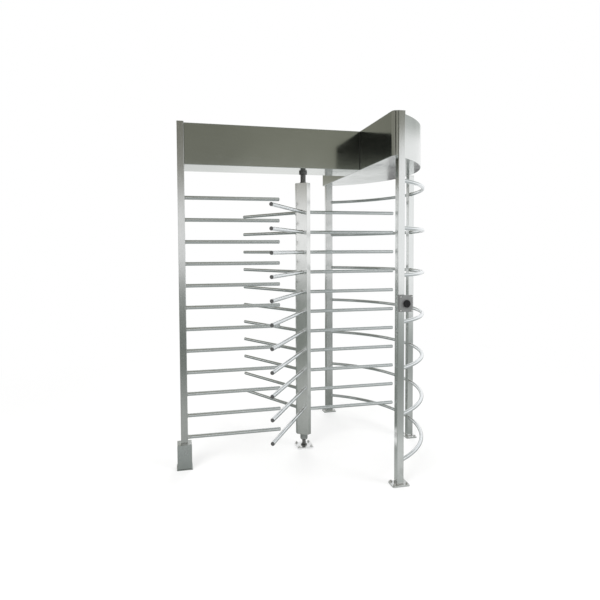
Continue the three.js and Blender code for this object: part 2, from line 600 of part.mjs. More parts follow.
const notchedDisc = raise(outline(wheelCorners), WHEEL_BOTTOM, WHEEL_THICKNESS);
place('locking_wheel', cut(notchedDisc, keyedBore), ZINC, rotor);

// Toothed wheel with straight-flanked teeth
function gearPlan(teeth) {
  const pitchRadius = GEAR_MODULE * teeth / 2;
  const tip = pitchRadius + GEAR_MODULE * ADDENDUM_SHARE;
  const root = pitchRadius - GEAR_MODULE * DEDENDUM_SHARE;
  const halfPitch = Math.PI / teeth / 2 - GEAR_BACKLASH / 2 / pitchRadius;
  const tipHalf = halfPitch - FLANK_SLOPE_SHARE * (tip - pitchRadius) / pitchRadius;
  const rootHalf = halfPitch + FLANK_SLOPE_SHARE * (pitchRadius - root) / pitchRadius;
  const corners = [];
  for (let i = 0; i < teeth; i += 1) {
    const centre = 2 * Math.PI * i / teeth;
    corners.push(polar(root, centre - rootHalf), polar(tip, centre - tipHalf),
      polar(tip, centre + tipHalf), polar(root, centre + rootHalf));
  }
  return outline(corners);
}
const gearRim = raise(gearPlan(GEAR_TEETH), GEAR_BOTTOM, GEAR_THICKNESS);
const gearHub = turned([
  [0, GEAR_HUB_BOTTOM], [GEAR_HUB_SIZE / 2, GEAR_HUB_BOTTOM],
  [GEAR_HUB_SIZE / 2, GEAR_BOTTOM + GEAR_THICKNESS], [0, GEAR_BOTTOM + GEAR_THICKNESS],
]);
place('shaft_gear', cut(join(gearRim, gearHub), keyedBore), ZINC, rotor);

// Rotary damper that slows the rotor, with its pinion in mesh with the gear
const damperTop = GEAR_BOTTOM - RUN_GAP;
const damperBody = new THREE.CylinderGeometry(DAMPER_SIZE / 2, DAMPER_SIZE / 2,
  damperTop - BEARING_BOTTOM, 20);
damperBody.rotateX(Math.PI / 2).translate(DAMPER_X, 0, (damperTop + BEARING_BOTTOM) / 2);
const spindleBottom = damperTop - DAMPER_SPINDLE_DEPTH;
place('damper_body', cut(damperBody, drill(DAMPER_X, 0, DAMPER_SPINDLE_SIZE + 2 * RUN_GAP,
  spindleBottom + CUT_OVER - RUN_GAP, damperTop, 16)), DARK_STEEL);

const pinion = raise(gearPlan(PINION_TEETH), GEAR_BOTTOM, GEAR_THICKNESS);
const pinionTurn = GEAR_TEETH % 2 === 0 ? Math.PI / PINION_TEETH : 0;
pinion.rotateZ(pinionTurn).translate(DAMPER_X, 0, 0);
const spindle = new THREE.CylinderGeometry(DAMPER_SPINDLE_SIZE / 2, DAMPER_SPINDLE_SIZE / 2,
  GEAR_BOTTOM + GEAR_THICKNESS - spindleBottom, 16);
spindle.rotateX(Math.PI / 2).translate(DAMPER_X, 0,
  (GEAR_BOTTOM + GEAR_THICKNESS + spindleBottom) / 2);
place('damper_pinion', join(pinion, spindle), ZINC);

// A pawl, drawn for the +X side: boss on the pivot, arm along the rim with its nose, and the tail
// that the plunger pushes. The other pawl is its mirror image.
function pawl(side) {
  const [pivotX, pivotY] = pawlPivot(side);
  const along = rad(PAWL_ANGLE);
  const boss = new THREE.CylinderGeometry(PAWL_BOSS_SIZE / 2, PAWL_BOSS_SIZE / 2, PAWL_THICKNESS, 16);
  boss.rotateX(Math.PI / 2).translate(0, 0, PAWL_BOTTOM + PAWL_THICKNESS / 2);
  const arm = block(0, PAWL_REACH + PAWL_NOSE_BASE / 2, -PAWL_NOSE_HEIGHT - PAWL_WIDTH,
    -PAWL_NOSE_HEIGHT, PAWL_BOTTOM, PAWL_BOTTOM + PAWL_THICKNESS);
  const noseRoot = -PAWL_NOSE_HEIGHT - PAWL_WIDTH / 2;
  const nose = raise(outline([
    [PAWL_REACH - PAWL_NOSE_BASE / 2, noseRoot], [PAWL_REACH + PAWL_NOSE_BASE / 2, noseRoot],
    [PAWL_REACH + PAWL_NOSE_TIP / 2, 0], [PAWL_REACH - PAWL_NOSE_TIP / 2, 0],
  ]), PAWL_BOTTOM, PAWL_THICKNESS);
  const tail = block(-PAWL_WIDTH / 2, PAWL_WIDTH / 2, -PAWL_TAIL - PAWL_WIDTH / 2, 0,
    PAWL_BOTTOM, PAWL_BOTTOM + PAWL_THICKNESS);
  for (const piece of [arm, nose]) piece.rotateZ(along);
  const whole = join(boss, arm, nose, tail);
  const bored = cut(whole, drill(0, 0, PAWL_PIN_SIZE + 2 * RUN_GAP, PAWL_BOTTOM,
    PAWL_BOTTOM + PAWL_THICKNESS, 16));
  return (side > 0 ? bored : bored.mirror([1, 0, 0])).translate([pivotX, pivotY, 0]);
}
place('locking_pawl_right', pawl(1), DARK_STEEL);
place('locking_pawl_left', pawl(-1), DARK_STEEL);

// Two solenoids back to back between the pawls' tails, each with its plunger
const [, pawlY] = pawlPivot(1);
const plungerY = pawlY - PAWL_TAIL;
const plungerZ = PAWL_BOTTOM + PAWL_THICKNESS / 2;
const coilEnd = COIL_FROM_CENTRE + COIL_LENGTH;
function alongX(radius, x0, x1, sides) {
  const rod = new THREE.CylinderGeometry(radius, radius, x1 - x0, sides);
  return rod.rotateZ(Math.PI / 2).translate((x0 + x1) / 2, plungerY, plungerZ);
}
function solenoid() {
  const coil = alongX(COIL_SIZE / 2, COIL_FROM_CENTRE, coilEnd, 16);
  const foot = block(COIL_FROM_CENTRE, coilEnd, plungerY - COIL_FOOT_DEPTH / 2,
    plungerY + COIL_FOOT_DEPTH / 2, BEARING_BOTTOM, plungerZ);
  const boreStart = coilEnd - PLUNGER_STROKE_ROOM - COIL_LENGTH / 2;
  return cut(join(coil, foot), alongX(PLUNGER_SIZE / 2 + RUN_GAP, boreStart, coilEnd + CUT_OVER, 12));
}
function plunger() {
  const domeRadius = PLUNGER_HEAD_SIZE / 2;
  const domeStart = pawlPivot(1)[0] - PAWL_WIDTH / 2 - SEAT_GAP - domeRadius;
  const dome = arc(0, domeStart, domeRadius, 0, Math.PI / 2, DOME_STEPS - 1).slice(0, -1);
  const profile = [[0, coilEnd - COIL_LENGTH / 2], [PLUNGER_SIZE / 2, coilEnd - COIL_LENGTH / 2],
    [PLUNGER_SIZE / 2, domeStart - PLUNGER_HEAD_LENGTH],
    [domeRadius, domeStart - PLUNGER_HEAD_LENGTH], ...dome, [0, domeStart + domeRadius]];
  return toSolid(turned(profile, 12).rotateY(Math.PI / 2).translate(0, plungerY, plungerZ));
}
place('pawl_solenoid_right', solenoid(), DARK_STEEL);
place('pawl_solenoid_left', solenoid().mirror([1, 0, 0]), DARK_STEEL);
place('solenoid_plunger_right', plunger(), ZINC);
place('solenoid_plunger_left', plunger().mirror([1, 0, 0]), ZINC);

// Control unit on the header's floor, a plastic case with a stepped cover
const controlBottom = HEADER_BOTTOM + FLOOR_SHEET + SEAT_GAP;
const controlY = (HEADER_FRONT + HEADER_BACK) / 2;
const controlBase = raise(roundedRectangle(CONTROL_X, controlY, CONTROL_WIDTH, CONTROL_DEPTH,
  CONTROL_CORNER), controlBottom, CONTROL_HEIGHT / 2);
const controlCover = raise(roundedRectangle(CONTROL_X, controlY, CONTROL_WIDTH - CONTROL_RIM,
  CONTROL_DEPTH - CONTROL_RIM, CONTROL_CORNER), controlBottom, CONTROL_HEIGHT);
place('control_unit', join(controlBase, controlCover), GREY_CAST);

// Push button box on the front post. It is drawn lying down and stood up against the post.
const postFront = FRONT_POST_Y - POST_SIZE / 2;
const boxX = FRONT_POST_X - POST_SIZE / 2 - BUTTON_BOX_OVERHANG + BUTTON_BOX_WIDTH / 2;
function standUp(geometry) {
  return geometry.rotateX(Math.PI / 2).translate(boxX, postFront - SEAT_GAP, BUTTON_BOX_Z);
}
const boxBack = raise(roundedRectangle(0, 0, BUTTON_BOX_WIDTH, BUTTON_BOX_HEIGHT,
  BUTTON_BOX_CORNER), 0, BUTTON_BOX_DEPTH - BUTTON_BOX_EDGE);
const boxFace = raise(roundedRectangle(0, 0, BUTTON_BOX_WIDTH - 2 * BUTTON_BOX_EDGE,
  BUTTON_BOX_HEIGHT - 2 * BUTTON_BOX_EDGE, BUTTON_BOX_CORNER), 0, BUTTON_BOX_DEPTH);
const stemDepth = BUTTON_TRAVEL + BUTTON_HEIGHT;
const stemHole = drill(0, 0, BUTTON_STEM_SIZE + 2 * RUN_GAP,
  BUTTON_BOX_DEPTH - stemDepth - BUTTON_TRAVEL + CUT_OVER, BUTTON_BOX_DEPTH);
place('button_box', cut(join(standUp(boxBack), standUp(boxFace)), standUp(stemHole)), GREY_CAST);

const bezelStart = BUTTON_BOX_DEPTH + SEAT_GAP;
const bezel = cut(turned([
  [0, bezelStart], [BEZEL_SIZE / 2, bezelStart], [BEZEL_SIZE / 2 - BUTTON_CROWN, bezelStart + BEZEL_HEIGHT],
  [0, bezelStart + BEZEL_HEIGHT],
]), drill(0, 0, BUTTON_SIZE + 2 * RUN_GAP, bezelStart, bezelStart + BEZEL_HEIGHT, 18));
place('button_bezel', standUp(toGeometry(bezel)), BLACK_PLASTIC);

const buttonBack = BUTTON_BOX_DEPTH + BUTTON_TRAVEL + RUN_GAP;
const buttonFront = buttonBack + BUTTON_HEIGHT;
const button = turned([
  [0, BUTTON_BOX_DEPTH - stemDepth + BUTTON_TRAVEL],
  [BUTTON_STEM_SIZE / 2, BUTTON_BOX_DEPTH - stemDepth + BUTTON_TRAVEL],
  [BUTTON_STEM_SIZE / 2, buttonBack], [BUTTON_SIZE / 2, buttonBack],
  [BUTTON_SIZE / 2, buttonFront - BUTTON_CROWN], [BUTTON_SIZE / 2 - BUTTON_CROWN, buttonFront],
  [0, buttonFront],
]);
place('push_button', standUp(button), BLACK_PLASTIC);

export default turnstile;
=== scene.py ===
import math

import bmesh
import bpy
from mathutils import Matrix, Vector


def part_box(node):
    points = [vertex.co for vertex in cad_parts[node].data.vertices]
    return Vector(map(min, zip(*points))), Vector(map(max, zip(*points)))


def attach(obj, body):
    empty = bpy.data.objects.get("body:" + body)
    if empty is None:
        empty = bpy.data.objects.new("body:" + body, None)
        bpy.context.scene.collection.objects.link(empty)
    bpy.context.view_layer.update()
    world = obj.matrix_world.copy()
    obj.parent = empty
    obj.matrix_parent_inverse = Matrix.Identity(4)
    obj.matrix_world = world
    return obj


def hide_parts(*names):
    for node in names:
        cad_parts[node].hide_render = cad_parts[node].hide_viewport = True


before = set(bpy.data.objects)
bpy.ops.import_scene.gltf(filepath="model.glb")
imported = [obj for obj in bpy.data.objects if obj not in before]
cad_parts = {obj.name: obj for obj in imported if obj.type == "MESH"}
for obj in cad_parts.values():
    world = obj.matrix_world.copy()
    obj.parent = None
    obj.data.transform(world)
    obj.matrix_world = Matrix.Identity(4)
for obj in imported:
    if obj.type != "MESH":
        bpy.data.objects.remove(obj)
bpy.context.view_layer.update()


# ---- Camera
# It stands where the photograph was taken: at eye height, three and a half metres in front of
# the gate and to the left of the rotor, turned a little to the right.
EYE = Vector((-0.9076, -3.5726, 1.4595))
TURNED_RIGHT, TILTED_DOWN, ROLLED = (math.radians(a) for a in (13.135, 2.548, -0.256))
PICTURE, FOCAL_LENGTH, AXIS_X, AXIS_Y = 600, 503.03, 293.55, 272.17  # in pixels
camera_data = bpy.data.cameras.new("camera")
camera_data.sensor_width = 36
camera_data.lens = 36 * FOCAL_LENGTH / PICTURE
camera_data.shift_x = (PICTURE / 2 - AXIS_X) / PICTURE
camera_data.shift_y = (AXIS_Y - PICTURE / 2) / PICTURE
camera = bpy.data.objects.new("camera", camera_data)
bpy.context.scene.collection.objects.link(camera)
camera.matrix_world = (
    Matrix.Translation(EYE)
    @ Matrix.Rotation(-TURNED_RIGHT, 4, "Z")
    @ Matrix.Rotation(math.pi / 2 - TILTED_DOWN, 4, "X")
    @ Matrix.Rotation(ROLLED, 4, "Z")
)
bpy.context.scene.camera = camera
bpy.context.scene.view_settings.view_transform = "Standard"


# ---- Studio
# A pale floor that fades into a white surround, and soft lamps. A grey roof, a grey mat and
# some cards stand for the workshop round the gate. Only the steel sees them, so that its faces
# read as steel against the white.
class Socket:
    """One output of a node, on which plain arithmetic adds Math nodes."""

    def __init__(self, graph, output):
        self.graph, self.output = graph, output

    def also(self, name):
        """Another output of the same node."""
        return Socket(self.graph, self.output.node.outputs[name])

    def maths(self, operation, *values):
        return self.graph.add("ShaderNodeMath", {"operation": operation}, values)

    def __add__(self, other):
        return self.maths("ADD", self, other)

    def __radd__(self, other):
        return self.maths("ADD", other, self)

    def __sub__(self, other):
        return self.maths("SUBTRACT", self, other)

    def __rsub__(self, other):
        return self.maths("SUBTRACT", other, self)

    def __mul__(self, other):
        return self.maths("MULTIPLY", self, other)

    def __rmul__(self, other):
        return self.maths("MULTIPLY", other, self)

    def __truediv__(self, other):
        return self.maths("DIVIDE", self, other)


class Graph:
    """A node tree that is filled one node at a time."""

    def __init__(self, tree):
        self.tree = tree
        tree.nodes.clear()

    def add(self, kind, settings=None, values=(), output=0):
        """Adds a node: its settings first, then the values or links of its sockets."""
        node = self.tree.nodes.new(kind)
        for name, value in (settings or {}).items():
            setattr(node, name, value)
        pairs = values.items() if isinstance(values, dict) else enumerate(values)
        for key, value in pairs:
            if isinstance(value, Socket):
                self.tree.links.new(value.output, node.inputs[key])
            else:
                node.inputs[key].default_value = value
        return Socket(self, node.outputs[output]) if node.outputs else node

    def mixed(self, share, first, second):
        """Two colours, mixed by a share from 0 to 1."""
        settings = {"data_type": "RGBA", "clamp_factor": True}
        return self.add("ShaderNodeMix", settings, {0: share, 6: first, 7: second}, output=2)

    def between(self, value, low, high):
        """0 up to low, 1 from high on, and a smooth step between them."""
        settings = {"interpolation_type": "SMOOTHSTEP"}
        values = {"Value": value, "From Min": low, "From Max": high}
        return self.add("ShaderNodeMapRange", settings, values)

    def spot(self):
        """The place that is being coloured, in the object's own coordinates."""
        return self.add("ShaderNodeTexCoord", output="Object")

    def height(self, spot):
        return self.add("ShaderNodeSeparateXYZ", {}, [spot], output="Z")

    def noise(self, spot, scale, detail):
        values = {"Vector": spot, "Scale": scale, "Detail": detail}
        return self.add("ShaderNodeTexNoise", {}, values)

    def relief(self, height, strength, distance):
        values = {"Strength": strength, "Distance": distance, "Height": height}
        return self.add("ShaderNodeBump", {}, values)

    def shown(self, shader):
        """Ends a material with a shader, or with the values of a Principled one."""
        if isinstance(shader, dict):
            shader = self.add("ShaderNodeBsdfPrincipled", {}, shader)
        self.add("ShaderNodeOutputMaterial", {}, {"Surface": shader})


def new_finish(name):
    material = bpy.data.materials.new(name)
    material.use_nodes = True
    return material, Graph(material.node_tree)


def show(piece):
    bpy.context.scene.collection.objects.link(piece)
    return piece


def mesh_object(name, vertices, faces, edges=()):
    mesh = bpy.data.meshes.new(name)
    mesh.from_pydata(vertices, edges, faces)
    mesh.update()
    return show(bpy.data.objects.new(name, mesh))


def seen_by_camera_and_steel(graph):
    """1 for the camera's rays and for those that metal or glass sends on."""
    path = graph.add("ShaderNodeLightPath", output="Is Camera Ray")
    seen = path.maths("MAXIMUM", path, path.also("Is Glossy Ray"))
    return path.maths("MAXIMUM", seen, path.also("Is Transmission Ray"))


def seen_by_steel_alone(piece):
    piece.visible_camera = piece.visible_diffuse = piece.visible_shadow = False


def distance(graph, spot):
    """How far a spot lies from the rotor's foot."""
    return graph.add("ShaderNodeVectorMath", {"operation": "LENGTH"}, [spot], output="Value")


def across(graph, spot):
    """How far a spot lies towards the brighter side, at the right of the gate."""
    return graph.add("ShaderNodeVectorMath", {"operation": "DOT_PRODUCT"},
                     [spot, (0.985, 0.174, 0)], output="Value")


WHITE = (1, 1, 1, 1)
FLOOR_REACH, FLOOR_COLOUR, FLOOR_GLOW = 40, (0.86, 0.86, 0.85, 1), 0.6
FADE_START, FADE_END = 1.5, 4.2
floor_material, graph = new_finish("studio_floor")
away = distance(graph, graph.spot())
paper = graph.add("ShaderNodeBsdfDiffuse", {}, {"Color": FLOOR_COLOUR})
glow = graph.add("ShaderNodeEmission", {}, {"Color": WHITE, "Strength": 1})
lit = seen_by_camera_and_steel(graph) * (
    FLOOR_GLOW + (1 - FLOOR_GLOW) * graph.between(away, FADE_START, FADE_END))
graph.shown(graph.add("ShaderNodeMixShader", {}, [lit, paper, glow]))


def carpet(name, reach, height, material):
    corners = [(x * reach, y * reach, height) for x, y in ((-1, -1), (1, -1), (1, 1), (-1, 1))]
    piece = mesh_object(name, corners, [(0, 1, 2, 3)])
    piece.data.materials.append(material)
    return piece


carpet("studio_floor", FLOOR_REACH, 0, floor_material)

SURROUND_FILL = 0.62
world = bpy.data.worlds.new("studio_surround")
bpy.context.scene.world = world
world.use_nodes = True
graph = Graph(world.node_tree)
strength = SURROUND_FILL + (1 - SURROUND_FILL) * seen_by_camera_and_steel(graph)
surround = graph.add("ShaderNodeBackground", {}, {"Color": WHITE, "Strength": strength})
graph.add("ShaderNodeOutputWorld", {}, {"Surface": surround})

# Where the roof and the mat change, in metres across the gate or up from the floor
OVERHEAD, OFF_THE_FLOOR = (5, 7), (1, 2)
PALER_FROM, PALER_TO, PALER = (-1.6, -0.4), (1.3, 2.1), 0.25


def dim_screen(name, shade, dim_left, dim_right, lighter):
    """A grey screen material. shade(graph, spot) says how much of it is there, and lighter
    from where to where it gets lighter towards the right."""
    material, graph = new_finish(name)
    spot = graph.spot()
    side, height = across(graph, spot), graph.height(spot)
    right = graph.between(side + 3.5 * graph.between(height, *OVERHEAD), *lighter)
    patches = 0.7 + 0.6 * graph.noise(spot, 0.45, 2)
    paler = graph.between(side, *PALER_FROM) * (1 - graph.between(side, *PALER_TO))
    paler = paler * graph.between(height, *OFF_THE_FLOOR)
    grey = graph.add("ShaderNodeEmission", {}, {
        "Color": graph.mixed(right, dim_left, dim_right),
        "Strength": patches * (1 + PALER * paler)})
    clear = graph.add("ShaderNodeBsdfTransparent")
    graph.shown(graph.add("ShaderNodeMixShader", {}, [shade(graph, spot), clear, grey]))
    return material


ROOF_EDGE, ROOF_FULL = 2.3, 3.4
ROOF_OUTLINE, ROOF_SIDES = ((9.0, 2.5), (9.0, 6.0), (7.6, 7.4), (4.5, 8.4), (0.05, 8.8)), 72


def roof_shade(graph, spot):
    """The roof's edge is higher at the window on the right, and a little beyond it."""
    side = across(graph, spot)
    window = graph.between(side, 1.7, 2.3)
    raised = 0.25 * graph.between(side, 3, 5)
    return graph.between(graph.height(spot), ROOF_EDGE + 1.35 * window + raised,
                         ROOF_FULL + 0.75 * window + raised)


def circle(radius, sides):
    """Points round the origin, in plan."""
    turns = (2 * math.pi * i / sides for i in range(sides))
    return [(radius * math.cos(a), radius * math.sin(a)) for a in turns]


rings = [(x, y, z) for radius, z in ROOF_OUTLINE for x, y in circle(radius, ROOF_SIDES)]
panes = [
    (row * ROOF_SIDES + i, row * ROOF_SIDES + (i + 1) % ROOF_SIDES,
     (row + 1) * ROOF_SIDES + (i + 1) % ROOF_SIDES, (row + 1) * ROOF_SIDES + i)
    for row in range(len(ROOF_OUTLINE) - 1) for i in range(ROOF_SIDES)
]
roof = mesh_object("studio_roof", rings, panes)
roof.data.materials.append(dim_screen(
    "studio_roof", roof_shade, (0.235, 0.232, 0.195, 1), (0.5, 0.52, 0.5, 1), (1.5, 6)))
seen_by_steel_alone(roof)

MAT_REACH, MAT_HEIGHT = 30, 0.0005
FRONT_POST_SPOT = (0.64, -1.2, 0)


def mat_shade(graph, spot):
    """The mat has a hole at the rotor's foot, is thin in front of the gate and near the front
    post, and is mostly clear behind, beside and at the window. Far back at the right it is
    there again, where the hood's underside mirrors it."""
    near = distance(graph, spot)
    post = graph.add("ShaderNodeVectorMath", {"operation": "DISTANCE"},
                     [spot, FRONT_POST_SPOT], output="Value")
    x = graph.add("ShaderNodeSeparateXYZ", {}, [spot])
    y = x.also("Y")
    behind = graph.between(y, 6, 9) * graph.between(x, -3.2, -1.8)
    beside = graph.between(y, 2, 4) * graph.between(x, 0.3, 1.6)
    window = graph.between(across(graph, spot), 2.4, 4) * (1 - graph.between(y, -7, -4))
    hooded = graph.between(x, 4.3, 5.1) * graph.between(y, 7.5, 9)
    inner = graph.between(near, 0.1, 0.25) * (0.75 + 0.25 * graph.between(post, 0.15, 0.55))
    front = 1 - graph.between(y, -0.6, 0.2)
    worn = 1 - 0.25 * front * (1 - graph.between(near, 1.4, 3.8))
    there = (1 - 0.75 * behind) * (1 - 0.8 * beside) * (1 - window) + 0.6 * hooded
    return inner * worn * there * (1 - graph.between(near, 20, 28))


seen_by_steel_alone(carpet("studio_mat", MAT_REACH, MAT_HEIGHT, dim_screen(
    "studio_mat", mat_shade, (0.2, 0.22, 0.2, 1), (0.5, 0.52, 0.51, 1), (-1, 4))))

# Cards that stand square to the gate's middle: place, width, lower and upper edge, brightness
for name, (x, y), width, low, high, level in (
    ("card_beam", (-3.2, -8.15), 3.0, 3.5, 4.9, 0.004),
    ("card_back", (1.5, 8.6), 5.4, 3.2, 5.6, 1.0),
    ("card_back_right", (5.2, 7.0), 3.4, 3.2, 5.6, 1.0),
    ("card_left", (-8.4, 0.3), 5.0, 0.3, 3.0, 0.09),
    ("card_pillar_1", (4.86, 9.19), 0.30, 0.0, 2.6, 0.16),
    ("card_pillar_2", (5.43, 8.92), 0.2, 0.0, 2.6, 0.12),
):
    side = Vector((-y, x, 0)) / math.hypot(x, y) * width / 2
    foot, lift = Vector((x, y, low)), Vector((0, 0, high - low))
    card = mesh_object(name, [foot - side, foot + side, foot + side + lift, foot - side + lift],
                       [(0, 1, 2, 3)])
    material, graph = new_finish(name)
    graph.shown(graph.add("ShaderNodeEmission", {}, {"Color": (level, level, level, 1)}))
    card.data.materials.append(material)
    seen_by_steel_alone(card)

LAMPS_AIM = Vector((0, 0, 1.1))
for name, place, size, power in (
    ("lamp_left", (-4.2, -4.6, 4.4), 3.2, 330),
    ("lamp_right", (4.4, -4.0, 3.6), 2.6, 190),
    ("lamp_back", (1.5, 5.2, 4.6), 3.0, 200),
):
    lamp_data = bpy.data.lights.new(name, "AREA")
    lamp_data.size, lamp_data.energy = size, power
    lamp = show(bpy.data.objects.new(name, lamp_data))
    lamp.location = place
    lamp.rotation_euler = (LAMPS_AIM - Vector(place)).to_track_quat("-Z", "Y").to_euler()
    lamp.visible_glossy = False


# ---- Square posts and their foot plates
# Stainless square tube, drawn lengthways and closed by a welded cap, on foot plates that are
# anchored down. The front and rear posts carry the hood's ends, and the side one stands under
# its middle.
SCUFF_HEIGHT, SCUFF_PATCH = (0.02, 0.32), (0.4, 0.75)
DARK, LIGHT, DULL = 0.84, 1.1, 0.82


def tinted(colour, share):
    return (*[min(c * share, 1) for c in colour], 1)


def drawn_steel(name, colour, roughness, stretch, follow=None, scuff=1.0):
    """Stainless steel with a grain, scuffed near the floor. stretch gives the noise's scale
    along each axis of the object, or of the attribute that the grain follows."""
    material, graph = new_finish(name)
    place = spot = graph.spot()
    if follow:
        spot = graph.add("ShaderNodeAttribute", {"attribute_name": follow}, output="Vector")
    lines = graph.add("ShaderNodeMapping", {}, {"Vector": spot, "Scale": stretch})
    grain, cloud = graph.noise(lines, 1, 3), graph.noise(spot, 3.1, 4)
    wiped = graph.noise(spot, 17, 2)
    scuffed = (scuff * (1 - graph.between(graph.height(place), *SCUFF_HEIGHT))
               * graph.between(graph.noise(place, 26, 5), *SCUFF_PATCH))
    clean = graph.mixed(grain * 0.5 + cloud * 0.5, tinted(colour, DARK), tinted(colour, LIGHT))
    graph.shown({
        "Base Color": graph.mixed(scuffed, clean, tinted(colour, DULL)), "Metallic": 1,
        "Roughness": roughness - 0.1 + grain * 0.1 + cloud * 0.07 + wiped * 0.04 + scuffed * 0.1,
        "Normal": graph.relief(grain, 0.05, 0.001)})
    return material


def arc(x, y, radius, start, end, steps):
    turns = [math.radians(start + (end - start) * i / steps) for i in range(steps + 1)]
    return [(x + radius * math.cos(a), y + radius * math.sin(a)) for a in turns]


def rounded_plan(low, high, corner, steps=6):
    """A rectangle in plan with round corners, from two of its corners."""
    return [
        *arc(high[0] - corner, high[1] - corner, corner, 0, 90, steps),
        *arc(low[0] + corner, high[1] - corner, corner, 90, 180, steps),
        *arc(low[0] + corner, low[1] + corner, corner, 180, 270, steps),
        *arc(high[0] - corner, low[1] + corner, corner, 270, 360, steps),
    ]


def walls(shape, plan, z0, z1):
    """Upright faces on an outline in plan. Gives back the points of the two rims."""
    low = [shape.verts.new((x, y, z0)) for x, y in plan]
    high = [shape.verts.new((x, y, z1)) for x, y in plan]
    for i in range(len(plan)):
        j = (i + 1) % len(plan)
        shape.faces.new((low[i], low[j], high[j], high[i]))
    return low, high


def smooth_piece(name, shape, *materials):
    """The finished shape as a piece in the scene."""
    mesh = bpy.data.meshes.new(name)
    shape.to_mesh(mesh)
    shape.free()
    mesh.polygons.foreach_set("use_smooth", [True] * len(mesh.polygons))
    piece = show(bpy.data.objects.new(name, mesh))
    for material in materials:
        piece.data.materials.append(material)
    return piece


FOLD_ANGLE, FOLD_STEPS = math.radians(28), 3


def folded(piece, width, sheet=0):
    """Rounds the edges, and gives the piece a wall inwards where it is made of sheet."""
    bevel = piece.modifiers.new("rounded_edges", "BEVEL")
    bevel.width, bevel.segments, bevel.limit_method = width, FOLD_STEPS, "ANGLE"
    bevel.angle_limit = FOLD_ANGLE
    if sheet:
        thick = piece.modifiers.new("sheet", "SOLIDIFY")
        thick.thickness, thick.offset, thick.use_even_offset = sheet, -1, True
    piece.modifiers.new("flat_faces", "WEIGHTED_NORMAL").keep_sharp = True
    return piece


def plate(name, plan, z0, z1, edge, material):
    """A solid on an outline in plan, with softened rims."""
    shape = bmesh.new()
    low, high = walls(shape, plan, z0, z1)
    shape.faces.new(low[::-1])
    shape.faces.new(high)
    return folded(smooth_piece(name, shape, material), edge)


def block(name, low, high, corner, edge, material):
    """A block with round upright corners and softened rims."""
    return plate(name, rounded_plan(low, high, corner), low[2], high[2], edge, material)


def ready(piece, body, slot, *replaced):
    """Puts a piece on its body and hides the nodes that it stands for. Its slot is not used."""
    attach(piece, body)
    if replaced:
        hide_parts(*replaced)


POST_WIDTH, REAR_WIDTH, POST_CORNER, POST_EDGE = 0.045, 0.060, 0.004, 0.0012
PLATE_HEIGHT, PLATE_CORNER = 0.010, 0.008
UPRIGHT_GRAIN = (620, 620, 9)
post_steel = drawn_steel("post_steel", (0.73, 0.74, 0.735), 0.18, UPRIGHT_GRAIN)
front_steel = drawn_steel("front_steel", (0.8, 0.82, 0.815), 0.13, UPRIGHT_GRAIN)
plate_steel = drawn_steel("plate_steel", (0.94, 0.96, 0.96), 0.22, (300, 20, 300), scuff=0.3)


def post(node, width, steel):
    """The tube of a post, in the middle of its foot plate."""
    low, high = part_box(node)
    centre = (low + high) / 2
    half = Vector((width / 2, POST_WIDTH / 2, 0))
    tube = block(node + "_tube", Vector((centre.x, centre.y, PLATE_HEIGHT)) - half,
                 Vector((centre.x, centre.y, high.z)) + half, POST_CORNER, POST_EDGE, steel)
    foot = block(node + "_foot_plate", low, (high.x, high.y, PLATE_HEIGHT), PLATE_CORNER,
                 POST_EDGE, plate_steel)
    for piece in (tube, foot):
        ready(piece, "frame", "brushed_steel", node)
    return centre


comb_centre = post("comb_post", POST_WIDTH, post_steel)
front_centre = post("front_post", POST_WIDTH, front_steel)
rear_centre = post("rear_post", REAR_WIDTH, post_steel)
side_centre = post("side_post", POST_WIDTH, front_steel)


# ---- Shoe of the comb post
# A folded stainless cover, slipped down the post over its foot plate and anchors, with a
# flange on the floor.
SHOE_CORNER, SHOE_HALF, SHOE_EDGE = 0.005, 0.0475, 0.002
SHOE_RIM, SHOE_RIM_EDGE = 0.006, 0.0015
shoe_low, shoe_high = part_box("comb_post_shoe")
shoe_steel = drawn_steel("shoe_steel", (0.66, 0.69, 0.69), 0.22, (500, 500, 14), scuff=0.5)
shoe_cover = block(
    "shoe_cover",
    (comb_centre.x - SHOE_HALF, comb_centre.y - SHOE_HALF, SHOE_RIM),
    (comb_centre.x + SHOE_HALF, comb_centre.y + SHOE_HALF, shoe_high.z),
    SHOE_CORNER, SHOE_EDGE, shoe_steel)
shoe_flange = block("shoe_flange", shoe_low, (shoe_high.x, shoe_high.y, SHOE_RIM),
                    SHOE_CORNER, SHOE_RIM_EDGE, shoe_steel)
for piece in (shoe_cover, shoe_flange):
    ready(piece, "frame", "brushed_steel", "comb_post_shoe")


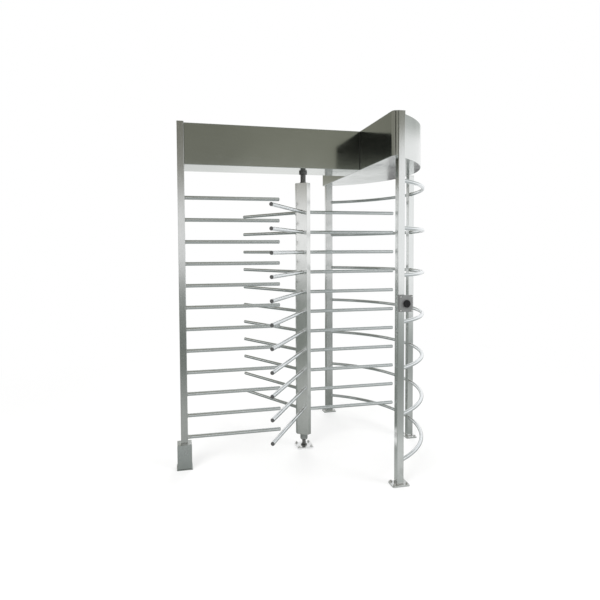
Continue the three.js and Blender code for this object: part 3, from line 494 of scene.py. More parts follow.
# ---- Comb bars
# Twelve polished stainless tubes, welded to the comb post at one end and closed by a dark plug
# at the other. The rotor's arms pass between them.
class Recipe(Graph):
    """A Geometry Nodes tree with named inputs, which makes plain meshes."""

    KINDS = {int: "NodeSocketInt", float: "NodeSocketFloat", tuple: "NodeSocketVector"}

    def __init__(self, name, **inputs):
        super().__init__(bpy.data.node_groups.new(name, "GeometryNodeTree"))
        interface = self.tree.interface
        interface.new_socket("Geometry", in_out="INPUT", socket_type="NodeSocketGeometry")
        interface.new_socket("Geometry", in_out="OUTPUT", socket_type="NodeSocketGeometry")
        self.inputs = {}
        for key, value in inputs.items():
            kind = self.KINDS.get(type(value), "NodeSocketMaterial")
            socket = interface.new_socket(key, in_out="INPUT", socket_type=kind)
            self.inputs[key] = (socket.identifier, value)
        self.entry = self.tree.nodes.new("NodeGroupInput")

    def given(self, key):
        return Socket(self, self.entry.outputs[key])

    def vector(self, **parts):
        return self.add("ShaderNodeCombineXYZ", {}, parts)

    def joined(self, *parts):
        node = self.tree.nodes.new("GeometryNodeJoinGeometry")
        for part in parts:
            self.tree.links.new(part.output, node.inputs[0])
        return Socket(self, node.outputs[0])

    def copies(self, points, geometry, **more):
        return self.add("GeometryNodeInstanceOnPoints", {}, {
            "Points": points, "Instance": geometry, **more})

    def tube(self, path, sides, radius, **more):
        """A smooth round tube along a curve."""
        section = self.add("GeometryNodeCurvePrimitiveCircle", {}, {
            "Resolution": sides, "Radius": radius})
        skin = self.add("GeometryNodeCurveToMesh", {}, {
            "Curve": path, "Profile Curve": section, **more})
        return self.add("GeometryNodeSetShadeSmooth", {}, [skin])

    def cone(self, sides, low_radius, top_radius, height, **place):
        shape = self.add("GeometryNodeMeshCone", {}, {
            "Vertices": sides, "Radius Bottom": low_radius, "Radius Top": top_radius,
            "Depth": height})
        return self.add("GeometryNodeTransform", {}, {"Geometry": shape, **place})

    def grained(self, geometry, place):
        """The geometry with the coordinates that its grain follows."""
        return self.add("GeometryNodeStoreNamedAttribute", {"data_type": "FLOAT_VECTOR"}, {
            "Geometry": geometry, "Name": "grain", "Value": place})

    def down_the_tiers(self, geometry):
        ladder = self.add("GeometryNodeMeshLine", {}, {
            "Count": self.given("tiers"), "Start Location": self.given("top"),
            "Offset": self.vector(Z=0 - self.given("pitch"))})
        return self.copies(ladder, geometry)

    def spread(self, geometry):
        """The geometry turned to each wing and repeated down the tiers."""
        spots = self.add("GeometryNodeMeshLine", {}, {
            "Count": self.given("wings"), "Offset": (0, 0, 0)})
        turn = self.add("GeometryNodeInputIndex") * (2 * math.pi) / self.given("wings")
        marked = self.grained(geometry, self.add("GeometryNodeInputPosition"))
        return self.down_the_tiers(self.copies(spots, marked, Rotation=self.vector(Z=turn)))

    def coated(self, geometry, key):
        """The geometry made real, in the material that an input names."""
        real = self.add("GeometryNodeRealizeInstances", {}, [geometry])
        return self.add("GeometryNodeSetMaterial", {}, {"Geometry": real,
                                                        "Material": self.given(key)})

    def ends(self, geometry):
        out = self.tree.nodes.new("NodeGroupOutput")
        self.tree.links.new(geometry.output, out.inputs[0])

    def made(self, name, vertices=((0, 0, 0),), edges=(), **values):
        """A piece of this recipe, as a plain mesh with no modifier left on it."""
        piece = mesh_object(name, vertices, [], edges)
        modifier = piece.modifiers.new("recipe", "NODES")
        modifier.node_group = self.tree
        for key, (identifier, usual) in self.inputs.items():
            modifier[identifier] = values.get(key, usual)
        done = piece.evaluated_get(bpy.context.evaluated_depsgraph_get())
        mesh = bpy.data.meshes.new_from_object(done)
        piece.modifiers.remove(modifier)
        piece.data = mesh
        return piece


COMB_BARS, BAR_SIDES, PLUG_CHAMFER = 12, 40, 0.0025
comb_low, comb_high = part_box("barrier_bar_01")
comb_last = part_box(f"barrier_bar_{COMB_BARS}")[1].z
bar_pitch = (comb_high.z - comb_last) / (COMB_BARS - 1)
bar_radius = (comb_high.z - comb_low.z) / 2
bar_steel = drawn_steel("bar_steel", (0.85, 0.88, 0.9), 0.15, (12, 420, 420), follow="grain")
plug_material, graph = new_finish("bar_plug")
speck = graph.noise(graph.spot(), 900, 2)
graph.shown({
    "Base Color": graph.mixed(speck, (0.035, 0.036, 0.036, 1), (0.085, 0.086, 0.085, 1)),
    "Roughness": 0.45 + speck * 0.2, "Normal": graph.relief(speck, 0.15, 0.0004)})

bars = Recipe("round_bars", radius=bar_radius, start=0.0, length=0.6, wings=1, tiers=COMB_BARS,
              pitch=bar_pitch, top=(0.0, 0.0, 0.0), steel=bar_steel, plug=plug_material)
radius = bars.given("radius")
tube_end = bars.vector(X=bars.given("start") + bars.given("length") - PLUG_CHAMFER)
axis = bars.add("GeometryNodeCurvePrimitiveLine", {}, {
    "Start": bars.vector(X=bars.given("start")), "End": tube_end})
chamfer = bars.cone(BAR_SIDES, radius, radius - PLUG_CHAMFER, PLUG_CHAMFER,
                    Rotation=(0, math.pi / 2, 0), Translation=tube_end)
bars.ends(bars.joined(
    bars.coated(bars.spread(bars.tube(axis, BAR_SIDES, radius)), "steel"),
    bars.coated(bars.spread(chamfer), "plug")))

comb_rows = {"tiers": COMB_BARS, "pitch": bar_pitch,
             "top": (0.0, comb_centre.y, comb_high.z - bar_radius)}
comb_bars = bars.made("comb_bars", start=comb_low.x, length=comb_high.x - comb_low.x,
                      **comb_rows)
ready(comb_bars, "frame", "polished_steel",
      *[f"barrier_bar_{i:02d}" for i in range(1, COMB_BARS + 1)])


# ---- Guide hoops of the cage
# Seven polished tubes bent to one radius round the rotor, welded to the front and rear posts
# and run through the side post.
HOOPS, HOOP_RADIUS, CAGE_RADIUS = 7, 0.0125, 0.846
HOOP_SIDES, HOOP_STEPS = 28, 96
POST_ANGLE, HOOP_INSET = math.radians(60.2), 0.0215
hoop_top, hoop_last = (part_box(f"guide_hoop_{i}")[1].z - HOOP_RADIUS for i in (1, HOOPS))
hoop_rows = {"tiers": HOOPS, "pitch": (hoop_top - hoop_last) / (HOOPS - 1),
             "top": (0.0, 0.0, hoop_top)}
hoops = Recipe("guide_hoops", radius=HOOP_RADIUS, cage=CAGE_RADIUS,
               half=POST_ANGLE - HOOP_INSET, steel=bar_steel, **hoop_rows)
path = hoops.add("GeometryNodeCurveArc", {"mode": "RADIUS"}, {
    "Resolution": HOOP_STEPS, "Radius": hoops.given("cage"),
    "Start Angle": 0 - hoops.given("half"), "Sweep Angle": 2 * hoops.given("half")})
x = hoops.add("ShaderNodeSeparateXYZ", {}, [hoops.add("GeometryNodeInputPosition")])
y = x.also("Y")
along = x.maths("ARCTAN2", y, x) * hoops.given("cage")
reach = x.maths("SQRT", x.maths("POWER", x, 2) + x.maths("POWER", y, 2))
marked = hoops.grained(hoops.tube(path, HOOP_SIDES, hoops.given("radius")),
                       hoops.vector(X=along, Y=reach, Z=x.also("Z")))
hoops.ends(hoops.coated(hoops.down_the_tiers(marked), "steel"))
ready(hoops.made("guide_hoops"), "frame", "polished_steel",
      *[f"guide_hoop_{i}" for i in range(1, HOOPS + 1)])


# ---- Header beam and hood
# Folded stainless sheet: a long box from the comb post to the hood, and the hood over the
# cage, with a rolled outer wall and rounded ends. Flat lids close both.
SHEET, FOLD, LID, LID_EDGE, SEAT = 0.002, 0.003, 0.002, 0.0007, 0.0003
SPIGOT_HOLE, SPIGOT_SIDES = 0.0293, 48


def sheet_box(name, plan, z0, z1, materials, hole=None):
    """An open-topped box of folded sheet on an outline in plan, with a round hole in its
    floor about the rotor's axis if a radius is given."""
    shape = bmesh.new()
    low, _ = walls(shape, plan, z0, z1)
    floor = shape.faces.new(low[::-1])
    if hole:
        rim = [shape.verts.new((x, y, z0)) for x, y in circle(hole, SPIGOT_SIDES)]
        shape.faces.remove(floor)
        edges = [shape.edges.get((low[i], low[(i + 1) % len(low)])) for i in range(len(low))]
        edges += [shape.edges.new((rim[i], rim[(i + 1) % SPIGOT_SIDES]))
                  for i in range(SPIGOT_SIDES)]
        bmesh.ops.triangle_fill(shape, use_beauty=True, use_dissolve=True, edges=edges,
                                normal=(0, 0, -1))
        for face in shape.faces:
            if face.normal.z > 0.9:
                face.normal_flip()
    shape.normal_update()
    return folded(smooth_piece(name, shape, *materials), FOLD, sheet=SHEET)


header_steel = drawn_steel("header_steel", (0.59, 0.62, 0.59), 0.12, (7, 520, 520))
# The hood's flat inner wall gets a darker copy of the hood's steel, in the header's colour:
# painted shade, since both walls are one sheet.
inner_wall_painted_shade = drawn_steel("inner_wall_painted_shade", (0.59, 0.62, 0.59), 0.12, (8, 8, 560))
hood_steel = drawn_steel("hood_steel", (0.76, 0.78, 0.77), 0.13, (8, 8, 560))
(left, front, under), (right, back, rim) = (tuple(c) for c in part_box("header_shell"))
lid_top = rim + SEAT + LID
header_plan = [(left, front), (right, front), (right, back), (left, back)]
header_body = sheet_box("header_body", header_plan, under, rim, [header_steel],
                        hole=SPIGOT_HOLE)
header_cover = plate("header_cover", header_plan, rim + SEAT, lid_top, LID_EDGE, header_steel)

HOOD_RADIUS, FRONT_NOSE, REAR_NOSE = 0.830, 0.028, 0.020
HOOD_STEPS, NOSE_STEPS = 96, 12
hood_low, hood_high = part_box("hood_shell")
inner_x, nose_y = hood_low.x, hood_high.y
post_back = rear_centre.y - POST_WIDTH / 2 - SEAT
front_notch = front_centre.x - POST_WIDTH / 2 - SEAT
rear_notch = rear_centre.x - REAR_WIDTH / 2 - SEAT
sweep = math.degrees(math.asin(post_back / HOOD_RADIUS))
hood_plan = [
    *arc(inner_x + FRONT_NOSE, FRONT_NOSE - nose_y, FRONT_NOSE, 180, 270, NOSE_STEPS),
    (front_notch, -nose_y), (front_notch, -post_back),
    *arc(0, 0, HOOD_RADIUS, -sweep, sweep, HOOD_STEPS),
    (rear_notch, post_back), (rear_notch, nose_y),
    *arc(inner_x + REAR_NOSE, nose_y - REAR_NOSE, REAR_NOSE, 90, 180, NOSE_STEPS),
]
hood_body = sheet_box("hood_body", hood_plan, under, rim, [hood_steel, inner_wall_painted_shade])
# Faces that look along -X, the flat inner wall, take the darker copy: painted shade.
for wall in hood_body.data.polygons:
    wall.material_index = int(wall.normal.x < -0.999)
hood_cover = plate("hood_cover", hood_plan, rim + SEAT, lid_top, LID_EDGE, header_steel)
for piece, node in ((header_body, "header_shell"), (header_cover, "header_lid"),
                    (hood_body, "hood_shell"), (hood_cover, "hood_lid")):
    ready(piece, "frame", "header_steel", node)


# ---- Rotor column and its arms
# A six-sided tube folded from four millimetre steel, with a wide face for each wing. Eleven
# arms to a wing pass out through it, at the heights of the gaps in the comb.
WINGS, ARM_TIERS, ARM_INSET = 3, 11, 0.006
COLUMN_WALL, COLUMN_FOLD, WIDE_FACE, NARROW_FACE = 0.004, 0.003, 0.080, 0.036
column_low, column_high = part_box("rotor_column")
column_steel = drawn_steel("column_steel", (0.86, 0.87, 0.86), 0.17, (560, 560, 8))
wide_offset = (WIDE_FACE + 2 * NARROW_FACE) / (2 * math.sqrt(3))
narrow_offset = (2 * WIDE_FACE + NARROW_FACE) / (2 * math.sqrt(3))
half_face = (2 * narrow_offset - wide_offset) / math.sqrt(3)
column_plan = []
for facing in (2 * math.pi * wing / WINGS for wing in range(WINGS)):
    for side in (-half_face, half_face):
        column_plan.append((wide_offset * math.cos(facing) - side * math.sin(facing),
                            wide_offset * math.sin(facing) + side * math.cos(facing)))
shape = bmesh.new()
walls(shape, column_plan, column_low.z, column_high.z)
column_skin = folded(smooth_piece("column_skin", shape, column_steel), COLUMN_FOLD,
                     sheet=COLUMN_WALL)
ready(column_skin, "rotor", "brushed_steel", "rotor_column")

arm_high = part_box("arm_tier_01")[1]
arm_root = wide_offset - ARM_INSET
arm_rows = {"wings": WINGS, "tiers": ARM_TIERS, "pitch": bar_pitch,
            "top": (0.0, 0.0, arm_high.z - bar_radius)}
rotor_arms = bars.made("rotor_arms", start=arm_root, length=arm_high.x - arm_root, **arm_rows)
ready(rotor_arms, "rotor", "polished_steel",
      *[f"arm_tier_{i:02d}" for i in range(1, ARM_TIERS + 1)])


# ---- Turned pieces: main shaft, top bearing, hub and floor pivot
# The shaft stands on the column's top plate and hangs in the bearing's collar. Under the
# column a hub turns on the pin of the floor pivot, whose square plate is anchored down.
TURNED_SIDES, SHARP_FROM = 64, math.radians(32)
PLATED_DARK, PLATED_LIGHT = 0.75, 1.2


def turned(name, profile, material):
    """A piece turned about the upright axis from (radius, height) pairs."""
    shape = bmesh.new()
    rings = []
    for radius, height in profile:
        if radius == 0:
            rings.append([shape.verts.new((0, 0, height))] * TURNED_SIDES)
        else:
            rings.append([shape.verts.new((x, y, height))
                          for x, y in circle(radius, TURNED_SIDES)])
    for lower, upper in zip(rings, rings[1:]):
        for i in range(TURNED_SIDES):
            j = (i + 1) % TURNED_SIDES
            corners = [lower[i], lower[j], upper[j], upper[i]]
            face = [v for k, v in enumerate(corners) if v not in corners[:k]]
            if len(face) > 2:
                shape.faces.new(face)
    piece = smooth_piece(name, shape, material)
    piece.data.set_sharp_from_angle(angle=SHARP_FROM)
    return piece


def plated_steel(name, colour, roughness, metallic=1.0, scale=160, gloss=0.5):
    """Steel or casting with a fine even surface, a little uneven in tone."""
    material, graph = new_finish(name)
    spot = graph.spot()
    fine, cloud = graph.noise(spot, scale, 3), graph.noise(spot, 12, 4)
    graph.shown({
        "Base Color": graph.mixed(fine * 0.4 + cloud * 0.6, tinted(colour, PLATED_DARK),
                                  tinted(colour, PLATED_LIGHT)),
        "Metallic": metallic, "Specular IOR Level": gloss,
        "Roughness": roughness - 0.06 + fine * 0.08 + cloud * 0.08,
        "Normal": graph.relief(fine, 0.12, 0.0006)})
    return material


shaft_steel = plated_steel("shaft_steel", (0.2, 0.2, 0.195), 0.32)
hub_steel = plated_steel("hub_steel", (0.36, 0.38, 0.37), 0.38)
pivot_steel = plated_steel("pivot_steel", (0.87, 0.88, 0.89), 0.26)

SHAFT_RADIUS, SHAFT_FOOT, SHAFT_COLLAR, SHAFT_END = 0.019, 0.024, 0.027, 0.017
SHAFT_FOOT_HEIGHT, SHAFT_FOOT_EDGE, COLLAR_HEIGHT, TURNED_EDGE = 0.009, 0.002, 0.010, 0.0015
shaft_low, shaft_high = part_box("main_shaft")
bearing_low, bearing_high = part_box("top_bearing")
foot = column_high.z + SEAT
foot_top = foot + SHAFT_FOOT_HEIGHT
collar = bearing_high.z + SEAT
collar_top = collar + COLLAR_HEIGHT
main_shaft = turned("shaft", [
    (0, shaft_low.z), (SHAFT_RADIUS, shaft_low.z), (SHAFT_RADIUS, foot), (SHAFT_FOOT, foot),
    (SHAFT_FOOT, foot_top - SHAFT_FOOT_EDGE), (SHAFT_FOOT - SHAFT_FOOT_EDGE, foot_top),
    (SHAFT_RADIUS, foot_top), (SHAFT_RADIUS, collar), (SHAFT_COLLAR, collar),
    (SHAFT_COLLAR, collar_top), (SHAFT_END, collar_top),
    (SHAFT_END, shaft_high.z - TURNED_EDGE), (SHAFT_END - TURNED_EDGE, shaft_high.z),
    (0, shaft_high.z)], shaft_steel)
ready(main_shaft, "rotor", "dark_steel", "main_shaft")

BORE, SPIGOT, FLANGE, BEARING, BEARING_EDGE = 0.0195, 0.029, 0.058, 0.039, 0.001
FLANGE_HEIGHT, FLANGE_EDGE = 0.012, 0.0012
FLOOR_SHEET, MECHANISM_PLATE = 0.003, 0.010
plate_top = under + FLOOR_SHEET + SEAT + MECHANISM_PLATE
flange = plate_top + SEAT
flange_top = flange + FLANGE_HEIGHT
top_bearing = turned("bearing_housing", [
    (BORE, bearing_low.z), (SPIGOT - TURNED_EDGE, bearing_low.z),
    (SPIGOT, bearing_low.z + TURNED_EDGE), (SPIGOT, flange), (FLANGE, flange),
    (FLANGE, flange_top - FLANGE_EDGE), (FLANGE - FLANGE_EDGE, flange_top),
    (BEARING, flange_top), (BEARING, bearing_high.z - BEARING_EDGE),
    (BEARING - BEARING_EDGE, bearing_high.z), (BORE, bearing_high.z), (BORE, bearing_low.z)],
    shaft_steel)
ready(top_bearing, "frame", "dark_steel", "top_bearing")

HUB_RADIUS, HUB_CHAMFER, PIN_BORE, PIN, PIN_GAP = 0.027, 0.006, 0.014, 0.0135, 0.0006
HUB_STEP, HUB_SINK = 0.001, 0.004
BASE_PLATE, BASE_PLATE_SHARE, BASE_PLATE_INSET, BASE_PLATE_EDGE = 0.010, 0.9, 0.0004, 0.0006
hub_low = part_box("column_base_hub")[0]
pivot_low, pivot_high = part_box("floor_pivot")
hub_top, bore_top = column_low.z + HUB_SINK, pivot_high.z + PIN_GAP
hub = turned("base_hub", [
    (PIN_BORE, hub_low.z), (HUB_RADIUS - HUB_CHAMFER, hub_low.z),
    (HUB_RADIUS, hub_low.z + HUB_CHAMFER), (HUB_RADIUS, column_low.z - HUB_STEP),
    (HUB_RADIUS + HUB_STEP, column_low.z), (HUB_RADIUS + HUB_STEP, hub_top), (0, hub_top),
    (0, bore_top), (PIN_BORE, bore_top), (PIN_BORE, hub_low.z)], hub_steel)
base_plate = plate(
    "column_base_plate", [(x * BASE_PLATE_SHARE, y * BASE_PLATE_SHARE) for x, y in column_plan],
    column_low.z + BASE_PLATE_INSET, column_low.z + BASE_PLATE, BASE_PLATE_EDGE, hub_steel)
for piece in (hub, base_plate):
    ready(piece, "rotor", "zinc_steel", "column_base_hub")

PIVOT_PLATE, PIVOT_CORNER, PIVOT_EDGE, PIN_EDGE = 0.012, 0.014, 0.0015, 0.001
BOSS, BOSS_HEIGHT, BOSS_EDGE, BOSS_SINK = 0.023, 0.006, 0.0012, 0.001
pivot_plate = block("pivot_plate", pivot_low, (pivot_high.x, pivot_high.y, PIVOT_PLATE),
                    PIVOT_CORNER, PIVOT_EDGE, pivot_steel)
boss_foot, boss_top = PIVOT_PLATE - BOSS_SINK, PIVOT_PLATE + BOSS_HEIGHT
pivot_pin = turned("pivot_pin", [
    (0, boss_foot), (BOSS, boss_foot), (BOSS, boss_top - BOSS_EDGE),
    (BOSS - BOSS_EDGE, boss_top), (PIN, boss_top), (PIN, pivot_high.z - PIN_EDGE),
    (PIN - PIN_EDGE, pivot_high.z), (0, pivot_high.z)], shaft_steel)
for piece in (pivot_plate, pivot_pin):
    ready(piece, "frame", "zinc_steel", "floor_pivot")


# ---- Locking mechanism and control unit, inside the header
# Zinc plated wheel, gear and plate, blackened pawls and solenoids, and a grey cast case. They
# keep the shapes of the frame's own nodes and get their finishes here.
zinc = plated_steel("zinc_plate", (0.5, 0.51, 0.48), 0.36)
black_steel = plated_steel("black_steel", (0.06, 0.06, 0.063), 0.42)
cast_grey = plated_steel("cast_grey", (0.22, 0.225, 0.225), 0.48, metallic=0.4, scale=420)
for finish, nodes in (
    (zinc, ("mechanism_plate", "locking_wheel", "shaft_gear", "damper_pinion",
            "column_top_plate", "solenoid_plunger_right", "solenoid_plunger_left")),
    (black_steel, ("damper_body", "locking_pawl_right", "locking_pawl_left",
                   "pawl_solenoid_right", "pawl_solenoid_left")),
    (cast_grey, ("control_unit",)),
):
    for node in nodes:
        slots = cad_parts[node].data.materials
        slots.clear()
        slots.append(finish)


# ---- Push button box
# A small grey cast box screwed to the front post, with a black bezel and a black push button
# that springs back.
BOX_CORNER, BOX_EDGE = 0.005, 0.003
BEZEL_RADIUS, BEZEL_BORE, BEZEL_HEIGHT = 0.028, 0.0225, 0.006
BUTTON_RADIUS, STEM_RADIUS, BUTTON_HEAD = 0.022, 0.010, 0.009
box_low, box_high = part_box("button_box")
button_box = block("push_button_box", box_low, box_high, BOX_CORNER, BOX_EDGE, cast_grey)
ready(button_box, "frame", "grey_cast", "button_box")
black_plastic = plated_steel("black_plastic", (0.01, 0.01, 0.011), 0.42, metallic=0.0, gloss=0.22)
bezel_plastic = plated_steel("bezel_plastic", (0.13, 0.13, 0.132), 0.4, metallic=0.0)
bezel_low, bezel_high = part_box("button_bezel")
button_low, button_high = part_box("push_button")
button_x, button_z = (bezel_low.x + bezel_high.x) / 2, (bezel_low.z + bezel_high.z) / 2


def point_out(piece, y):
    """Turns a piece that was made upright so that it points out of the box, towards -Y."""
    piece.data.transform(Matrix.Translation((button_x, y, button_z))
                         @ Matrix.Rotation(math.pi / 2, 4, "X"))
    return piece


bezel = point_out(turned("bezel", [
    (BEZEL_BORE, 0), (BEZEL_RADIUS, 0), (BEZEL_RADIUS, BEZEL_HEIGHT / 2),
    (BEZEL_RADIUS - 0.002, BEZEL_HEIGHT - 0.0005), (BEZEL_RADIUS - 0.0035, BEZEL_HEIGHT),
    (BEZEL_BORE + 0.001, BEZEL_HEIGHT), (BEZEL_BORE, BEZEL_HEIGHT - 0.001), (BEZEL_BORE, 0)],
    bezel_plastic), bezel_high.y)
ready(bezel, "frame", "black_plastic", "button_bezel")
depth = button_high.y - button_low.y
button = point_out(turned("button", [
    (0, 0), (STEM_RADIUS, 0), (STEM_RADIUS, depth - BUTTON_HEAD),
    (BUTTON_RADIUS, depth - BUTTON_HEAD), (BUTTON_RADIUS, depth - 0.002),
    (BUTTON_RADIUS - 0.0006, depth - 0.0006), (BUTTON_RADIUS - 0.002, depth),
    (0.012, depth - 0.0008), (0, depth - 0.0012)], black_plastic), button_high.y)
ready(button, "button", "black_plastic", "push_button")


# ---- Weld beads
# Thin rippled beads of the tungsten arc welds, round the root of each bar, arm and hoop, at
# the posts' feet and caps, and where the header meets the comb post. A near-black bead in the
# corner of header and hood is painted shadow: it stands in for the shade in the gap there.
SEAM_SIDES, SEAM_OUT, BEAD_SIDES, BEAD_SWELL = 36, 0.0004, 6, 0.16
SEARCH_START, SEARCH_STEPS = math.radians(50), 24
weld_steel, graph = new_finish("weld_steel")
spot = graph.spot()
tint, fine = graph.noise(spot, 45, 2), graph.noise(spot, 900, 2)
graph.shown({
    "Base Color": graph.mixed(tint, (0.43, 0.41, 0.38, 1), (0.6, 0.6, 0.6, 1)), "Metallic": 1,
    "Roughness": 0.24 + fine * 0.16, "Normal": graph.relief(fine, 0.1, 0.0004)})

beads = Recipe("weld_beads", size=0.0019, ripple=0.0032, step=0.0012, tiers=1, pitch=0.0,
               wings=1, top=(0.0, 0.0, 0.0), steel=weld_steel)
seam = beads.add("GeometryNodeMeshToCurve", {}, [beads.given("Geometry")])
seam = beads.add("GeometryNodeResampleCurve", {"mode": "LENGTH"}, {
    "Curve": seam, "Length": beads.given("step")})
along = beads.add("GeometryNodeSplineParameter", output="Length")
swell = along.maths("SINE", along * (2 * math.pi) / beads.given("ripple"))
bead = beads.tube(seam, BEAD_SIDES, 1.0, Scale=beads.given("size") * (1 + BEAD_SWELL * swell))
beads.ends(beads.coated(beads.spread(bead), "steel"))


def round_seams(*seams):
    """Vertices and edges of closed seams, for a recipe that follows them."""
    vertices, edges = [], []
    for seam in seams:
        start = len(vertices)
        vertices += seam
        edges += [(start + i, start + (i + 1) % len(seam)) for i in range(len(seam))]
    return {"vertices": vertices, "edges": edges}


def bar_seam(x):
    """Round a bar that leaves a flat face at x."""
    return round_seams([(x, y, z) for y, z in circle(bar_radius, SEAM_SIDES)])


def square_seam(centre, half_x, half_y, z):
    corners = ((1, 1, 0), (-1, 1, 90), (-1, -1, 180), (1, -1, 270))
    return [(x, y, z) for sx, sy, start in corners
            for x, y in arc(centre.x + sx * (half_x - POST_CORNER),
                            centre.y + sy * (half_y - POST_CORNER), POST_CORNER, start,
                            start + 90, 4)]


def hoop_seam(centre, half_x, half_y):
    """Where the surface of a hoop at height 0 meets the faces of a post."""
    side = 1 if centre.y > 0 else -1
    seam = []
    for out, up in circle(HOOP_RADIUS, SEAM_SIDES):
        radius = CAGE_RADIUS + out
        outside, inside = SEARCH_START, POST_ANGLE
        for _ in range(SEARCH_STEPS):
            middle = (outside + inside) / 2
            x, y = radius * math.cos(middle), side * radius * math.sin(middle)
            if abs(x - centre.x) < half_x and abs(y - centre.y) < half_y:
                inside = middle
            else:
                outside = middle
        seam.append((radius * math.cos(inside), side * radius * math.sin(inside), up))
    return seam


half, rear_half = POST_WIDTH / 2, REAR_WIDTH / 2
cage_posts = (("front_post", front_centre, half), ("rear_post", rear_centre, rear_half),
              ("side_post", side_centre, half))
side_seams = [[(math.sqrt((CAGE_RADIUS + out) ** 2 - half ** 2), face * half, up)
               for out, up in circle(HOOP_RADIUS, SEAM_SIDES)] for face in (-1, 1)]
foot_seams = [square_seam(centre, wide, half, PLATE_HEIGHT) for _, centre, wide in cage_posts]
FOOT_BEAD, CAP_BEAD = {"size": 0.0032, "ripple": 0.004}, {"size": 0.0007, "ripple": 0.0026}
CAP_DEPTH, JOINT_OUT, JOINT_INSET, JOINT_FOOT, JOINT_BEAD = 0.003, 0.0003, 0.006, 0.001, 0.0016
cap_seams = [square_seam(centre, wide, half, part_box(node)[1].z - CAP_DEPTH)
             for node, centre, wide in (("comb_post", comb_centre, half), *cage_posts)]
joint_x, joint_y = left - JOINT_OUT, front + JOINT_INSET
joint_low, joint_high, joint_end = under + JOINT_FOOT, rim - JOINT_INSET, comb_centre.y + half
for piece in (
    beads.made("comb_bar_welds", **bar_seam(comb_low.x + SEAM_OUT), **comb_rows),
    beads.made("hoop_welds", **round_seams(
        hoop_seam(front_centre, half, half), hoop_seam(rear_centre, rear_half, half)),
        **hoop_rows),
    beads.made("side_post_welds", **round_seams(*side_seams), **hoop_rows),
    beads.made("post_foot_welds", **round_seams(*foot_seams), **FOOT_BEAD),
    beads.made("post_cap_welds", **round_seams(*cap_seams), **CAP_BEAD),
    beads.made("header_end_weld", vertices=[
        (joint_x, joint_y, joint_high), (joint_x, joint_y, joint_low),
        (joint_x, joint_end, joint_low), (joint_x, joint_end, joint_high)],
        edges=[(0, 1), (1, 2), (2, 3)], size=JOINT_BEAD),
):
    ready(piece, "frame", "brushed_steel")

# Painted shadow: a near-black bead in the corner of header and hood stands in for the shade in
# the gap there.
gap_shadow_finish = plated_steel("dark_gap_shadow", (0.012, 0.012, 0.011), 0.5, metallic=0.0, gloss=0.3)
GAP_SHADOW_BEAD, GAP_SHADOW_OUT, GAP_SHADOW_TOP, GAP_SHADOW_FOOT = {"size": 0.0024, "ripple": 0.03}, 0.0006, 0.002, 0.001
gap_shadow_x, gap_shadow_y = inner_x - 2 * GAP_SHADOW_OUT, front - GAP_SHADOW_OUT
corner_gap_shadow = beads.made("corner_gap_shadow", vertices=[
    (gap_shadow_x, gap_shadow_y, rim - GAP_SHADOW_TOP), (gap_shadow_x, gap_shadow_y, under + GAP_SHADOW_FOOT)],
    edges=[(0, 1)], steel=gap_shadow_finish, **GAP_SHADOW_BEAD)
ready(corner_gap_shadow, "frame", "black_plastic")

arm_welds = beads.made("arm_welds", **bar_seam(wide_offset + SEAM_OUT / 2), **arm_rows)
ready(arm_welds, "rotor", "brushed_steel")


# ---- Anchors and screws
# Zinc plated M8 anchors through the foot plates and the pivot's plate, button head screws on
# the lids and on the push button box, and cap screws on the bearing and the mechanism plate.
anchor_zinc = plated_steel("anchor_zinc", (0.8, 0.8, 0.79), 0.27)
fasteners = Recipe("fasteners", flats=6, washer=0.010, washer_height=0.0016, head=0.0086,
                   head_height=0.0064, stud=0.004, stud_height=0.0115, steel=anchor_zinc)
HEAD_SHARE, HEAD_TAPER, STUD_TIP = 0.86, 0.86, 0.001
WASHER_SIDES, STUD_SIDES, WASHER_TAPER, STUD_TAPER, TIP_TAPER = 20, 14, 0.97, 0.98, 0.8


def fastener_part(sides, low_radius, top_radius, height, start):
    """A round or many-sided piece of a fastener, from start up."""
    return fasteners.cone(sides, low_radius, top_radius, height,
                          Translation=fasteners.vector(Z=start))


flats, washer, washer_top, head, head_height, stud, stud_height = (
    fasteners.given(key) for key in ("flats", "washer", "washer_height", "head", "head_height",
                                     "stud", "stud_height"))
fastener = fasteners.joined(
    fastener_part(WASHER_SIDES, washer, washer * WASHER_TAPER, washer_top, 0.0),
    fastener_part(flats, head, head, head_height * HEAD_SHARE, washer_top),
    fastener_part(flats, head, head * HEAD_TAPER, head_height * (1 - HEAD_SHARE),
                  washer_top + head_height * HEAD_SHARE),
    fastener_part(STUD_SIDES, stud, stud * STUD_TAPER, stud_height - STUD_TIP, 0.0),
    fastener_part(STUD_SIDES, stud * STUD_TAPER, stud * TIP_TAPER, STUD_TIP,
                  stud_height - STUD_TIP))
turn = fasteners.add("FunctionNodeRandomValue", {"data_type": "FLOAT"}, {
    "Min": 0.0, "Max": math.pi / 3, "Seed": 7}, output=1)
fasteners.ends(fasteners.coated(fasteners.copies(
    fasteners.given("Geometry"), fastener, Rotation=fasteners.vector(Z=turn)), "steel"))


def four_about(centre, reach_x, reach_y, z):
    return [(centre.x + sx * reach_x, centre.y + sy * reach_y, z)
            for sx in (-1, 1) for sy in (-1, 1)]


ANCHOR_INSET, PIVOT_ANCHOR = 0.014, 0.046
anchor_spots = []
for node, centre, _ in cage_posts:
    reach = (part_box(node)[1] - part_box(node)[0]) / 2
    anchor_spots += four_about(centre, reach.x - ANCHOR_INSET, reach.y - ANCHOR_INSET,
                               PLATE_HEIGHT)
anchor_spots += four_about(Vector((0, 0, 0)), PIVOT_ANCHOR, PIVOT_ANCHOR, PIVOT_PLATE)

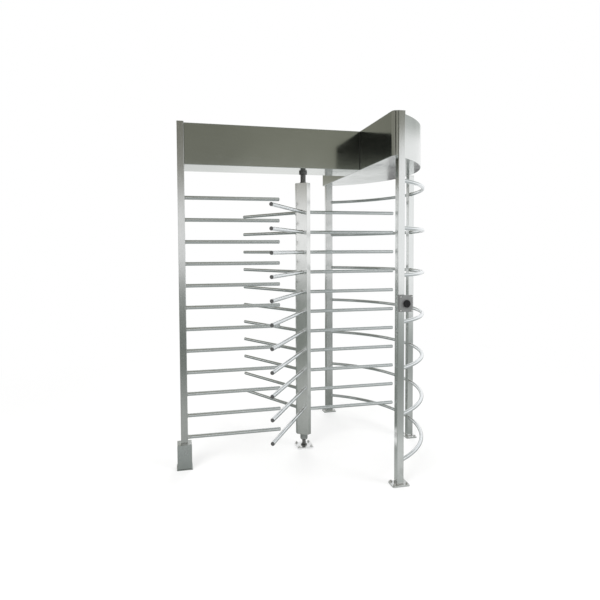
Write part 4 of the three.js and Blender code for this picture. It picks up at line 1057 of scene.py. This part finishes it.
LID_SCREW_ROW, LID_SCREW_END, LID_SCREW_INSET, HOOD_SCREW_INSET = 9, 0.03, 0.012, 0.014
HOOD_SCREW_PITCH, HOOD_SCREWS, HOOD_SCREW_TURN = 0.16, 12, 4
lid_screw = {"flats": 18, "washer": 0.0046, "washer_height": 0.0004, "head": 0.0042,
             "head_height": 0.0019, "stud": 0.0016, "stud_height": 0.0006}
row_length = right - left - 2 * LID_SCREW_END
lid_spots = [(left + LID_SCREW_END + row_length * i / (LID_SCREW_ROW - 1), y, lid_top)
             for i in range(LID_SCREW_ROW)
             for y in (front + LID_SCREW_INSET, back - LID_SCREW_INSET)]
lid_spots += [(x, y, lid_top) for x, y in arc(
    0, 0, HOOD_RADIUS - HOOD_SCREW_INSET, HOOD_SCREW_TURN - sweep, sweep - HOOD_SCREW_TURN,
    HOOD_SCREWS)]
lid_spots += [(inner_x + HOOD_SCREW_INSET, (i - LID_SCREW_ROW // 2) * HOOD_SCREW_PITCH, lid_top)
              for i in range(LID_SCREW_ROW)]

CAP_SCREW_INSET, CAP_SCREW_CIRCLE = 0.010, 0.049
cap_screw = {"flats": 18, "washer": 0.0062, "washer_height": 0.0008, "head": 0.0052,
             "head_height": 0.0058, "stud": 0.0022, "stud_height": 0.0062}
base_low, base_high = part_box("mechanism_plate")
base_half = (base_high - base_low) / 2
cap_spots = four_about(base_low + base_half, base_half.x - CAP_SCREW_INSET,
                       base_half.y - CAP_SCREW_INSET, plate_top)
cap_spots += [(x, y, flange_top) for x, y in arc(0, 0, CAP_SCREW_CIRCLE, 45, 315, 3)]

BOX_SCREW_INSET = 0.008
box_half = (box_high - box_low) / 2
box_spots = four_about(Vector((0, 0, 0)), box_half.x - BOX_SCREW_INSET,
                       box_half.z - BOX_SCREW_INSET, 0)
for piece in (
    fasteners.made("foot_anchors", vertices=anchor_spots),
    fasteners.made("lid_screws", vertices=lid_spots, **lid_screw),
    fasteners.made("cap_screws", vertices=cap_spots, **cap_screw),
    point_out(fasteners.made("box_screws", vertices=box_spots, **lid_screw), box_low.y),
):
    ready(piece, "frame", "zinc_steel")
